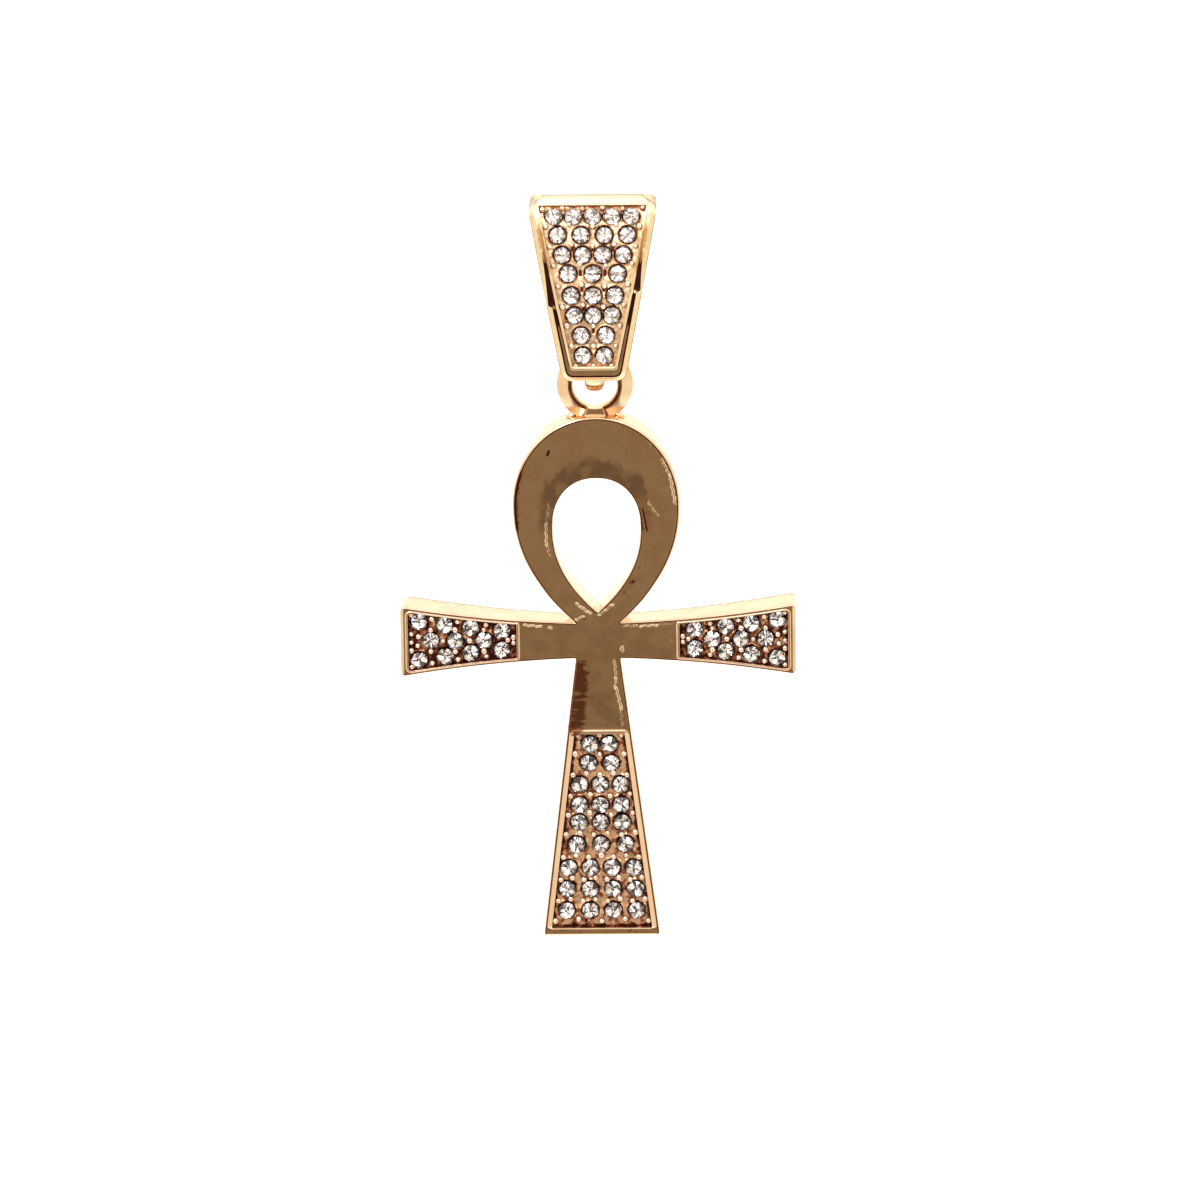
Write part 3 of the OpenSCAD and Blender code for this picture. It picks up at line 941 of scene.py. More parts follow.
RIPPLES = (
    Mark((1.80, -2.3), (1.95, -4.4), 0.12, 0.052),
    Mark((1.95, -4.4), (1.85, -5.6), 0.11, 0.050),
    Mark((1.95, -5.5), (2.50, -8.0), 0.13, 0.060),
    Mark((2.45, -7.8), (2.60, -10.1), 0.10, 0.040),
    Mark((-2.40, 4.4), (-0.80, 3.2), 0.12, 0.060),
    Mark((1.75, 4.3), (0.10, 3.0), 0.12, 0.060),
    Mark((-2.50, 2.5), (-1.50, 2.9), 0.11, 0.050),
    Mark((2.80, 1.72), (4.80, 1.70), 0.09, 0.035),
    Mark((4.80, 1.70), (6.60, 1.80), 0.09, 0.045),
    Mark((6.60, 1.80), (8.50, 2.00), 0.08, 0.030),
    Mark((-8.30, 1.92), (-6.30, 1.72), 0.10, 0.055),
    Mark((-5.50, 1.55), (-5.15, 1.58), 0.13, 0.060),
    Mark((-5.20, 16.3), (-5.62, 13.7), 0.10, 0.040),
    Mark((-5.62, 13.7), (-5.60, 11.3), 0.12, 0.055),
    Mark((-5.60, 11.3), (-5.15, 9.9), 0.10, 0.040),
    Mark((5.80, 23.2), (7.30, 21.2), 0.09, 0.030),
    Mark((7.40, 21.2), (8.25, 19.3), 0.12, 0.055),
    Mark((8.25, 19.3), (8.80, 16.0), 0.12, 0.055),
    Mark((5.77, 16.2), (6.90, 14.6), 0.10, 0.045),
    Mark((2.68, -0.80), (2.72, -1.15), 0.18, 0.085),
    Mark((8.20, 0.10), (8.24, -0.15), 0.14, 0.050),
)
PITS = (
    Mark((-5.36, 21.75), (-5.18, 22.2), 0.16, -0.075),
    Mark((3.00, 18.86), (3.04, 18.88), 0.07, -0.05),
    Mark((5.18, 15.4), (5.62, 12.9), 0.17, -0.06),
    Mark((4.74, 8.5), (4.78, 8.62), 0.08, -0.05),
    Mark((-1.60, -3.1), (-1.50, -3.25), 0.12, -0.04),
    Mark((-1.20, -4.6), (-1.15, -4.7), 0.08, -0.03),
)
# Stretches of the outer edge darkened with painted shade.
EDGE_SHADE = (
    Mark((-9.35, 13.3), (-8.9, 20.4), 0.50, 1.3),
    Mark((4.60, 15.2), (4.95, 12.9), 0.12, 1.0),
)
STAINS = (
    Mark((-2.0, -3.2), (-2.65, -10.4), 0.95, 1.0),
    Mark((5.1, 15.9), (5.55, 12.8), 0.17, 1.0),
    Mark((4.1, 7.2), (3.0, 5.4), 0.35, 0.6),
    Mark((2.4, 9.0), (4.3, 10.6), 0.25, 0.35),
    Mark((-1.5, 2.6), (-4.5, 1.5), 0.45, 0.35),
    Mark((7.2, 1.6), (8.6, 1.5), 0.40, 0.4),
    Mark((-5.4, -34.45), (5.4, -34.45), 0.16, 0.62),
)
STREAKS = (
    Mark((5.75, -3.2), (4.95, -7.4), 0.26, 1.4),
    Mark((6.00, -2.6), (5.60, -4.6), 0.14, 1.0),
)


def marks_at(flat: Array, marks: tuple[Mark, ...], wobble: float = 0.0) -> Array:
    """Adds up marks as bells across their stretches, each with soft ends.

    Args:
        flat: Places, one a row.
        marks: The marks.
        wobble: How far the line of a mark wanders to either side, by a sum of two waves.

    Returns:
        The sum at each place.
    """
    total = np.zeros(len(flat))
    for number, mark in enumerate(marks):
        away, length = flat - mark.start, mark.length
        run, left = mark.axes
        share, side = (away @ run) / length, away @ left
        way = share * length
        side = side + wobble * (np.sin(way * 7.1 + number) + 0.6 * np.sin(way * 13.7 + 2 * number))
        past = np.maximum(np.abs(share - 0.5) - 0.5, 0) * length
        total += mark.worth * np.exp(-((side / mark.width) ** 2) - (past / mark.width) ** 2)
    return total


def around_mark(mark: Mark, step: float, across: int, reach: float) -> Array:
    """Lays out rows of places over a mark, so that the mesh is fine enough for it.

    Args:
        mark: The mark.
        step: Distance between the rows.
        across: Number of places in a row.
        reach: How many of the mark's widths a row reaches to either side.

    Returns:
        The places, one a row.
    """
    way = np.linspace(-0.3, mark.length + 0.3, max(4, int((mark.length + 0.6) / step)))
    off = np.linspace(-reach, reach, across) * mark.width
    run, left = mark.axes
    return (np.array(mark.start) + way[:, None, None] * run + off[None, :, None] * left).reshape(-1, 2)


@dataclass
class Casting:
    """A cast and plated body.

    metal holds its finishes in the order of Skin, glass those of its stones in the order of Cut, and
    shape its points and faces while it is being made.
    """

    metal: list[Material]
    glass: list[Material]
    body: ClassVar[Body]
    shape: Shape = field(default_factory=Shape)

    def layers(self, points: Array) -> dict[str, Array]:
        """Gives the shares, by name, that the finishes read at points in millimetres."""
        raise NotImplementedError

    def complete(self, fields: list[StoneField]) -> None:
        """Makes the casting and its stones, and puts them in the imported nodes' places.

        Args:
            fields: Its fields.
        """
        node = self.body.value
        piece = self.shape.build(f"{node}_casting", self.metal)
        for name, worth in self.layers(points_of(piece)).items():
            attribute(piece.data, name, worth)
        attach(piece, node)
        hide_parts(node)
        log.info("%s: %d faces", piece.name, len(piece.data.polygons))
        for stone_field in fields:
            stone_field.dress_stones(self.body, self.glass)


@dataclass
class AnkhCasting(Casting):
    """The ankh: loop, arms and shaft in one casting, with three stone fields and the ring on top."""

    body: ClassVar[Body] = Body.ANKH
    stone: StoneSize = field(default_factory=StoneSize)
    thick: float = 4.0
    arm_root_h: float = 4.2
    arm_tip_h: float = 8.2
    arm_bow: float = 0.35
    loop_h: float = 26.1
    loop_half: float = 9.3
    loop_belly: float = 15.85
    loop_fall: float = 2.22
    hole_half: float = 4.9
    hole_top: float = 19.0
    hole_belly: float = 13.25
    hole_foot: float = 3.35
    hole_round: float = 2.2
    shaft_top_w: float = 5.0
    shaft_foot_w: float = 13.1
    shaft_l: float = 35.0
    arm_field_start: float = 9.1
    arm_tip_border: float = 0.85
    arm_side_border: float = 0.48
    arm_cuts: tuple[float, ...] = (0.16, 0.45, 0.45, 0.16)
    shaft_field_start: float = 11.0
    shaft_foot_border: float = 0.9
    shaft_rows_end: float = 1.3
    shaft_side_border: float = 0.78
    shaft_side_rim: float = 0.53
    ring_hole_r: float = 2.45
    ring_bar: float = 1.82
    ring_t: float = 1.6
    ring_rise: float = 3.33
    ring_forward: float = 0.45
    ring_slope: float = 0.44
    solder_out: float = 2.7
    solder_radii: Triple = (0.7, 0.5, 0.3)
    solder_turn: float = 0.6
    step: float = 0.3
    back_round: float = 0.4
    edge_round: float = 0.10
    draft: float = 0.32
    corner_pull: float = 0.34
    corner_reach: float = 0.95
    arm_outer_row: tuple[float, ...] = (0.139, 0.424, 0.661, 0.9)
    arm_middle_row: tuple[float, ...] = (0.302, 0.567, 0.792)
    lower_rim_nicks: tuple[float, ...] = (13.4, 16.1, 20.6)
    shaft_rows: RowPlan = (
        (2, 0.36, 0.06),
        (2, 0.39, 0.159),
        (3, 0.642, 0.271),
        (3, 0.605, 0.377),
        (3, 0.585, 0.469),
        (3, 0.615, 0.584),
        (4, 0.764, 0.707),
        (4, 0.757, 0.819),
        (4, 0.725, 0.932),
    )
    shaft_beads: tuple[int, ...] = (3, 3, 5, 4, 4, 6, 7, 8, 8, 5)

    def __post_init__(self) -> None:
        """Takes the front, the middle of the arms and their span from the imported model."""
        low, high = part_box("ankh")
        self.arm_half_span = high.x / MM
        self.face = AnkhFace(low.y / MM, low.z / MM + self.shaft_l)
        self.ring_y = self.face.front_y + self.thick / 2
        self.ring_z = self.face.middle_z + self.loop_h + self.ring_rise

    @property
    def arm_field_end(self) -> float:
        """Distance out of the arm field's outer end."""
        return self.arm_half_span - self.arm_tip_border

    @property
    def shaft_field_end(self) -> float:
        """Distance down of the shaft field's lower end."""
        return self.shaft_l - self.shaft_foot_border

    def arm_half(self, out: Array) -> Array:
        """Gives half an arm's height: it grows evenly to the tip, less a shallow bow 4 b t (1-t).

        Args:
            out: Distances out from the middle.

        Returns:
            Half the height at each.
        """
        root = self.shaft_top_w / 2
        t = (out - root) / (self.arm_half_span - root)
        grow = (self.arm_tip_h - self.arm_root_h) / 2
        return self.arm_root_h / 2 + grow * t - 4 * self.arm_bow * t * (1 - t)

    def shaft_field_half(self, up: Array) -> Array:
        """Gives half the width of the shaft's field, which grows evenly from the arms to the foot.

        Args:
            up: Heights from the middle of the arms, which are below 0.

        Returns:
            Half the width at each.
        """
        root = self.arm_root_h / 2
        grow = (self.shaft_foot_w - self.shaft_top_w) / 2
        half = self.shaft_top_w / 2 + grow * (-up - root) / (self.shaft_l - root)
        return half - self.shaft_side_border

    def drop_side(self, half: float, top: float, belly: float, foot: float, power: float) -> Array:
        """Draws the right side of a drop from its foot to its top.

        Below the belly x = half (1 - t^fall) at the height belly - (belly - foot) t. Above it x and z
        follow a superellipse of the power given.

        Args:
            half: Half the width at the belly.
            top: Height of the top.
            belly: Height of the widest place.
            foot: Height of the lower end.
            power: Power of the superellipse.

        Returns:
            Points from the foot up to the top.
        """
        t = np.linspace(1, 0, 160)
        lower = np.stack([half * (1 - t**self.loop_fall), belly - (belly - foot) * t], 1)
        a = np.linspace(0, math.pi / 2, 160)[1:]
        bend = 2 / power
        upper = np.stack([half * np.cos(a) ** bend, belly + (top - belly) * np.sin(a) ** bend], 1)
        upper[-1, 0] = 0.0
        return np.vstack([lower, upper])

    def outline(self) -> Array:
        """Draws the outer outline.

        Returns:
            Points counter-clockwise, from the corner between the right arm and the loop.
        """
        side = self.drop_side(self.loop_half, self.loop_h, self.loop_belly, 0.0, 2.0)
        free = side[side[:, 1] > self.arm_half(side[:, 0])]
        reach = np.linspace(0.0, 4.0, 4000)
        low = side[side[:, 1] < self.loop_belly]
        gap = np.interp(reach, low[:, 0], low[:, 1]) - self.arm_half(reach)
        corner_x = reach[np.argmin(np.abs(gap))]
        corner = np.array([[corner_x, self.arm_half(corner_x)]])
        right = np.vstack([corner, free])
        left = right[::-1] * FLIP
        out = np.linspace(corner_x, self.arm_half_span, 60)
        arm_top = np.stack([out, self.arm_half(out)], 1)
        root = self.shaft_top_w / 2
        out = np.linspace(root, self.arm_half_span, 60)
        arm_low = np.stack([out, -self.arm_half(out)], 1)
        foot = np.array([[self.shaft_foot_w / 2, -self.shaft_l]])
        shaft = np.vstack([[[root, -self.arm_root_h / 2]], foot])
        tip = np.vstack([arm_low[-1:], arm_top[-1:]])
        pieces = [np.vstack([right, left[1:]])]
        pieces += [line * FLIP for line in (arm_top, tip[::-1], arm_low[::-1], shaft)]
        pieces += [np.vstack([foot * FLIP, foot]), shaft[::-1], arm_low, tip, arm_top[::-1]]
        cuts = [0.12, 0.12, 0.65, 0.5, 0.2, 0.5, 0.5, 0.2, 0.5, 0.65]
        return join_rounded(pieces, cuts, self.step)

    def hole(self) -> Array:
        """Draws the hole's outline counter-clockwise."""
        side = self.drop_side(self.hole_half, self.hole_top, self.hole_belly, self.hole_foot, self.hole_round)
        return join_rounded([np.vstack([side, side[::-1][1:] * FLIP])], [0.25], FIELD_STEP)

    def arm_field(self) -> Array:
        """Draws the right arm's field counter-clockwise."""
        out = np.linspace(self.arm_field_start, self.arm_field_end, 40)
        return framed(np.stack([out, self.arm_side_border - self.arm_half(out)], 1), -FLIP, self.arm_cuts)

    def shaft_field(self) -> Array:
        """Draws the shaft's field counter-clockwise."""
        ends = -np.array([self.shaft_field_end, self.shaft_field_start])
        return framed(np.stack([self.shaft_field_half(ends), ends], 1), FLIP, [0.16] * 4, 3)

    def at_foot(self, flat: Array) -> Array:
        """Gives 1 along the lower edge of the shaft and 0 elsewhere."""
        return smooth(-flat[..., 1], self.shaft_l - 0.6, self.shaft_l - 0.1) * (np.abs(flat[..., 0]) < 6.3)

    def add_edges(self, outline: Array, way: float) -> tuple[Array, Array]:
        """Adds the edge of the casting along an outline, from its back round to its front.

        The back and front corners are quarter ellipses: inset a (1 - cos t) and depth b (1 - sin t). At the
        arms' tips the front one is wide, and its depth b (1 - sin t)^0.5 keeps it sloping to its crest. An
        arm is a little higher at its back, by draft (depth / thickness) times the share of the way to its
        tip. The left arm's upper corner is rounder at its back, by a pull inwards that is a bell over the
        distance from the corner.

        Args:
            outline: The outline, counter-clockwise.
            way: 1 where the metal is inside the outline and -1 where it is outside.

        Returns:
            The innermost rows on the front and on the back, as two flat values, a depth and a share of grime
            and painted shade.
        """
        foot = self.at_foot(outline) * (way > 0)
        off, up = np.abs(outline[:, 0]), outline[:, 1]
        span = self.arm_half_span
        tip = smooth(off, span - 0.35, span - 0.05) * (way > 0)
        loop = smooth(up, 4.5, 7.0) * (way > 0)
        wide = self.edge_round + 0.26 * tip + 0.14 * foot + 0.12 * loop
        deep = self.edge_round + 0.22 * tip + 0.12 * foot + 0.12 * loop
        flush = 0 * wide[None]
        t = np.linspace(0, math.pi / 2, 6)[:, None]
        back_in = self.back_round * (1 - np.sin(t)) + flush
        back_depth = self.thick - self.back_round * (1 - np.cos(t)) + flush
        front_in = wide * (1 - np.cos(t))
        front_depth = deep * np.maximum(1 - np.sin(t), 0) ** (1 - 0.5 * tip)
        free = 1 - smooth(off, 8.2, 9.0) * (up < 5)
        last = (1 - 0.6 * tip) * np.stack([0.04 + 0.04 * free, 0.08 + 0.06 * free]) + wide
        walls = [flush + w for w in (self.thick - self.back_round - 0.45, self.thick * 0.38, deep + 0.12)]
        inset = np.vstack([back_in, *[flush] * len(walls), front_in, last])
        depth = np.vstack([back_depth, *walls, front_depth, *[front_depth[-1:]] * 2])
        grime_and_shade = np.zeros_like(depth)
        # Painted shade: dark lines on the back's rounding, where the wall meets the front's rounding, by the
        # front's crest and along stretches of the outer edge.
        grime_and_shade[-4:-1] = np.array([0.35, 1.0, 0.9])[:, None] * (1 - 0.5 * foot - 0.7 * tip)
        grime_and_shade[-8] = 0.7
        grime_and_shade[3:6] = np.array([0.2, 0.65, 0.6])[:, None]
        grime_and_shade[-4:] = np.maximum(grime_and_shade[-4:], np.clip(marks_at(outline, EDGE_SHADE), 0, 1))
        flat = outline[None] - outward(outline)[None] * (inset * way)[..., None]
        on_arm = np.clip((off - 4) / 18, 0, 1) * (np.abs(up) < 4.6)
        flat[..., 1] += self.draft * on_arm * np.sign(up) * depth / self.thick
        from_corner = np.linalg.norm(outline - [-span, self.arm_tip_h / 2], axis=1)
        pull = self.corner_pull * bell(from_corner, self.corner_reach) * depth / self.thick
        flat += pull[..., None] * -FLIP
        self.shape.sheet(self.face.place(flat, depth), grime_and_shade=grime_and_shade)
        back, front = (np.column_stack([flat[i], depth[i], grime_and_shade[i]]) for i in (0, -1))
        return front, back

    def relief(self, flat: Array) -> Array:
        """Gives the face's own depth: ripples, pits and a slight roll of the polish."""
        roll = 0.006 * np.sin(flat[:, 0] * 0.9 + 1.3) * np.sin(flat[:, 1] * 0.7)
        return -marks_at(flat, RIPPLES, 0.05) - 0.2 * marks_at(flat, PITS) + roll

    def add_face(self, loops: list[Array]) -> None:
        """Adds the front between the outer edge, the hole's edge and the fields' rims.

        Args:
            loops: Their rows of two flat values and a depth, the outer one first.
        """
        flat = [loop[:, :2] for loop in loops]
        grid = lattice(flat, 0.42, 0.22)
        dense = np.vstack([around_mark(mark, 0.07, 15, 2.6) for mark in RIPPLES + PITS])
        dense = dense[inside(dense, flat)]
        dense = thinned(dense[near(dense, np.vstack(flat)) > 0.06])
        grid = grid[near(grid, dense) > 0.16]
        extra = np.vstack([grid, dense])
        # Grime and painted shade darken the pits.
        grime_and_shade = np.clip(-22 * marks_at(extra, PITS), 0, 1)
        rows = np.column_stack([extra, self.relief(extra), grime_and_shade])
        self.shape.cover(self.face, loops, rows)

    def ring_section(self, nose: float, crest: float, power: float) -> Array:
        """Draws the section of the ring's bar, as distances from the ring's middle and depths.

        Towards the hole it is a superellipse, nose (1 + cos t) across and r |sin t|^power deep. Past its
        level crest it slopes away to the outer edge.

        Args:
            nose: How far the rounding reaches from the hole.
            crest: Distance from the hole at which the slope begins.
            power: 1 for a half ellipse, and less for a squarer form.

        Returns:
            Points of the section, from the back round the hole's side to the front and round the outside.
        """
        r, hole = self.ring_t / 2, self.ring_hole_r
        t = np.linspace(math.pi / 2, 1.5 * math.pi, 17)
        inner = np.stack([hole + nose * (1 + np.cos(t)), r * signed_power(np.sin(t), power)], 1)
        level = np.array([[hole + nose + (crest - nose) * share, -r] for share in (0.3, 0.7, 1.0)])
        share = np.linspace(0.06, 1, 7)
        run = self.ring_bar - crest - 0.12
        slope = np.stack([hole + crest + share * run, -r + self.ring_slope * share**1.12], 1)
        front = np.vstack([level, slope])
        rim, low = hole + self.ring_bar, -r + 0.56
        edge = np.array([[rim - 0.03, low], [rim, -0.06], [rim, 0.06], [rim - 0.03, -low]])
        return np.vstack([inner, front, edge, front[::-1] * -FLIP])

    def add_ring(self) -> None:
        """Adds the small ring: its bar is rounded towards the hole and slopes away outside.

        The bar's section is carried round a circle: centre + radius (sin a, cos a). It is half round at the
        top, where it rests on the hook, and squarer below. At the very bottom its front levels out and
        stands forward. Painted shade lies along the level crest and at the ends of the level stretch.
        """
        r, hole = self.ring_t / 2, self.ring_hole_r
        turn = np.linspace(0, 2 * math.pi, 161)
        square = smooth(-np.cos(turn), -0.5, -0.1)[:, None, None]
        round_bar, square_bar = self.ring_section(r, r + 0.05, 1.0), self.ring_section(0.2, 0.54, 0.5)
        section = square_bar * square + round_bar * (1 - square)
        across, away = section[..., 0], section[..., 1]
        beyond = across - hole
        low = np.exp(-(((turn - math.pi) / 0.36) ** 30))[:, None]
        forward = np.where(away < 0, r + self.ring_forward, r - 0.02)
        level = np.sign(away) * forward * smooth(beyond, -0.03, 0.14)
        x, z = np.sin(turn)[:, None] * across, np.cos(turn)[:, None] * across
        rows = np.stack([x, self.ring_y + away + low * (level - away), self.ring_z + z], -1)
        front = away < -0.3
        band = smooth(beyond, 0.08, 0.15) * (1 - smooth(beyond, 0.50, 0.58)) * front
        beside = smooth(np.abs(np.sin(turn)), 0.30, 0.42)[:, None] * square[..., 0]
        ends = bell(np.abs(turn - math.pi) - 0.37, 0.04) * np.where(turn < math.pi, 1.0, 0.6)
        # Painted shade: a band along the level crest beside the lower half, and dark ends of the level
        # stretch.
        grime_and_shade = np.maximum(0.8 * band * beside, ends[:, None] * (across > hole + 0.1) * front)
        self.shape.sheet(rows, grime_and_shade=grime_and_shade)

    def add_solder(self) -> None:
        """Adds the two soft runs of solder where the ring stands on the loop."""
        for side in (-1, 1):
            centre = (side * self.solder_out, self.ring_y, self.face.middle_z + self.loop_h - 0.3)
            self.shape.sheet(puff(centre, self.solder_radii, 1.0, side * self.solder_turn))

    def fields(self) -> list[StoneField]:
        """Makes the fields of the left arm, the right arm and the shaft.

        Returns:
            The three fields in that order.
        """
        outline = self.arm_field()
        out, up = outline.T
        length = self.arm_field_end - self.arm_field_start
        outer = self.arm_field_start + np.array(self.arm_outer_row) * length
        middle = self.arm_field_start + np.array(self.arm_middle_row) * length
        reach = self.arm_half(outer) - self.arm_side_border - self.stone.radius - 0.06
        rows = [(outer, reach), (outer, -reach), (middle, 0 * middle)]
        stones = np.vstack([np.stack(row, 1) for row in rows])
        beads = self.arm_beads(stones, outer, middle)
        inner_end = smooth(-out, -self.arm_field_start - 0.12, -self.arm_field_start - 0.02)
        at_tip = smooth(out, self.arm_half_span - 1.0, self.arm_half_span - 0.8)
        below = (1 - inner_end) * (1 - at_tip) * (up < 0)
        width = 0.20 + 0.16 * inner_end + 0.15 * at_tip + 0.05 * below
        height = 0.10 + 0.02 * inner_end + 0.03 * below
        nicks = np.exp(-((out[:, None] - np.array([self.lower_rim_nicks])) ** 2) / 0.012).sum(1)
        height = height * (1 - 0.85 * nicks * (up < 0))
        right_rim = RimLine(width, height, 0 * width)
        left_rim = RimLine(width[::-1], height[::-1], 0 * width)
        left_places = ((outline * FLIP)[::-1], stones * FLIP, beads * FLIP)
        left = StoneField("left_arm", self.face, *left_places, left_rim, self.stone, bare=0.15)
        right = StoneField("right_arm", self.face, outline, stones, beads, right_rim, self.stone, bare=0.35)
        return [left, right, self.make_shaft_field()]

    def arm_beads(self, stones: Array, outer: Array, middle: Array) -> Array:
        """Places the beads of an arm's field.

        Args:
            stones: Places of the stones.
            outer: Distances out of the stones of the upper and lower rows.
            middle: Distances out of the stones of the middle row.

        Returns:
            The places of the beads that clear the stones.
        """
        start, end = self.arm_field_start, self.arm_field_end
        rim = self.stone.bead_r + self.stone.bead_gap
        between = (outer[1:] + outer[:-1]) / 2
        mid_gap = (middle[1:] + middle[:-1]) / 2
        tip_half = self.arm_half(end) - self.arm_side_border - rim
        half = self.arm_half(between) - self.arm_side_border - rim - 0.08
        sites = [(x, s * h) for x, h in zip(between, half) for s in (-1, 1)]
        sites += [(x, s * (self.stone.radius + self.stone.bead_r)) for x in middle for s in (-1, 1)]
        sites += [(x, 0.0) for x in mid_gap]
        sites += [(end - rim, tip_half * s) for s in (-0.99, -0.36, -0.05, 0.26, 0.99)]
        sites += [(end - 1.05, -0.55), (end - 1.15, 0.5)]
        sites += [(start + rim, -0.3), (start + rim, 0.36), (start + 1.0, 0.05)]
        every = clear_of(np.array(sites), stones, self.stone)
        apart = np.linalg.norm(every[:, None] - every[None], axis=2)
        first = np.array([not (apart[i, :i] < 0.5).any() for i in range(len(every))])
        return every[first]

    def make_shaft_field(self) -> StoneField:
        """Makes the field of the shaft.

        Returns:
            The field, with nine rows of stones.
        """
        outline = self.shaft_field()
        up = outline[:, 1]
        start, end = self.shaft_field_start, self.shaft_field_end
        length = self.shaft_l - self.shaft_rows_end - start
        rows, beads = set_rows(
            self.shaft_rows, self.shaft_beads, self.shaft_field_half, -start, length, (-start, 0.3 - end),
            self.stone,
        )
        at_top = smooth(up, -start - 0.12, -start - 0.02)
        at_foot = smooth(-up, end - 0.12, end - 0.02)
        side = (1 - at_top) * (1 - at_foot)
        width = 0.50 * at_top + 0.14 * at_foot + self.shaft_side_rim * side
        height = 0.11 * at_top + 0.06 * at_foot
        rim = RimLine(width, height, 0 * side, lean=2.2 - 1.2 * side, chamfer=0.2 * side)
        return StoneField(
            "shaft", self.face, outline, np.vstack(rows), beads, rim, self.stone, bare=0.7,
            collar_height=0.26,
        )

    def shade(self, flat: Array) -> Array:
        """Gives how much darker the front is.

        It grows down the cross and the shaft, and in a ragged band over the upper side of the hole by
        the distance to its outline.

        Args:
            flat: Places on the front.

        Returns:
            A share for each place.
        """
        across, up = flat[:, 0], flat[:, 1]
        wander = 0.25 * np.sin(across * 2.3) + 0.15 * np.sin(across * 5.9 + up)
        reach = 1.3 + 0.8 * smooth(up, 15.5, 19.5)
        band = (1 - smooth(near(flat, self.hole()) + wander - reach, 0.0, 0.3)) * smooth(up, 11.5, 14.5)
        down = 0.3 * smooth(-up, -12, 0) + 0.36 * smooth(-up, -2, 8)
        return np.clip(1.2 * band + down * (up > -self.shaft_field_start + 0.6), 0, 1.2)

    def satin(self, flat: Array) -> Array:
        """Gives where the metal is matt and rosier: on the rims of the fields.

        Args:
            flat: Places on the front.

        Returns:
            A share for each place.
        """
        on_arm_rim = 1 - smooth(near(np.abs(flat), np.abs(self.arm_field())), 0.20, 0.36)
        on_shaft_rim = 1 - smooth(near(flat, self.shaft_field()), 0.66, 0.78)
        above_foot = smooth(flat[:, 1], -self.shaft_field_end, -self.shaft_field_end + 0.2)
        return np.maximum(on_arm_rim, on_shaft_rim * above_foot)

    def layers(self, points: Array) -> dict[str, Array]:
        """Gives the shares that the finishes read.

        Args:
            points: Points of the casting in millimetres.

        Returns:
            The reddish stain, the copper colour at the ring's joints as two bells, and how much darker
            and how matt the front is.
        """
        flat = np.stack([points[:, 0], points[:, 2] - self.face.middle_z], 1)
        raised = self.face.front_y - points[:, 1]
        joints = (np.abs(points[:, 0]) - 2.85) ** 2 + (points[:, 2] - self.ring_z + 3.05) ** 2
        return {
            "stain": np.clip(marks_at(flat, STAINS, 0.08), 0, 1) * smooth(raised, -0.4, -0.1),
            "copper": np.exp(-joints / 0.2),
            "shade": self.shade(flat) * smooth(raised, -0.3, -0.1),
            "satin": self.satin(flat) * smooth(raised, -0.7, -0.4),
        }

    def build(self) -> None:
        """Builds the casting and its stones."""
        front, back = self.add_edges(self.outline(), 1.0)
        hole_front, hole_back = self.add_edges(self.hole(), -1.0)
        fields = self.fields()
        rims = [stone_field.add_rim(self.shape) for stone_field in fields]
        self.add_face([front, hole_front, *rims])
        grid = lattice([back[:, :2], hole_back[:, :2]], 1.5, 0.8)
        rest = np.tile([self.thick, 0.0], (len(grid), 1))
        self.shape.cover(self.face, [back, hole_back], np.hstack([grid, rest]))
        for stone_field in fields:
            stone_field.add_floor(self.shape)
            stone_field.add_beads(self.shape)
        self.add_ring()
        self.add_solder()
        self.complete(fields)


def puff(centre: Triple, radii: Triple, power: float, turn: float = 0.0) -> Array:
    """Works out a rounded lump: a superellipsoid, with each sine and cosine raised to a power.

    Args:
        centre: Its middle.
        radii: Half its sizes along the three axes.
        power: 1 for an ellipsoid, and less for a squarer form.
        turn: Angle by which it is turned about the front-to-back axis.

    Returns:
        Points (row, place, axis), with closed poles.
    """
    a = np.linspace(-math.pi / 2, math.pi / 2, 13)[:, None]
    around = signed_power(circle(20), power)
    wide = np.maximum(np.cos(a), 0) ** power
    wide[0], wide[-1] = 0, 0
    x = radii[0] * wide * around[:, 0]
    y = radii[1] * wide * around[:, 1]
    z = radii[2] * signed_power(np.sin(a), power) + 0 * x
    u = x * math.cos(turn) + z * math.sin(turn)
    w = -x * math.sin(turn) + z * math.cos(turn)
    return np.stack([u, y, w], -1) + np.array(centre)


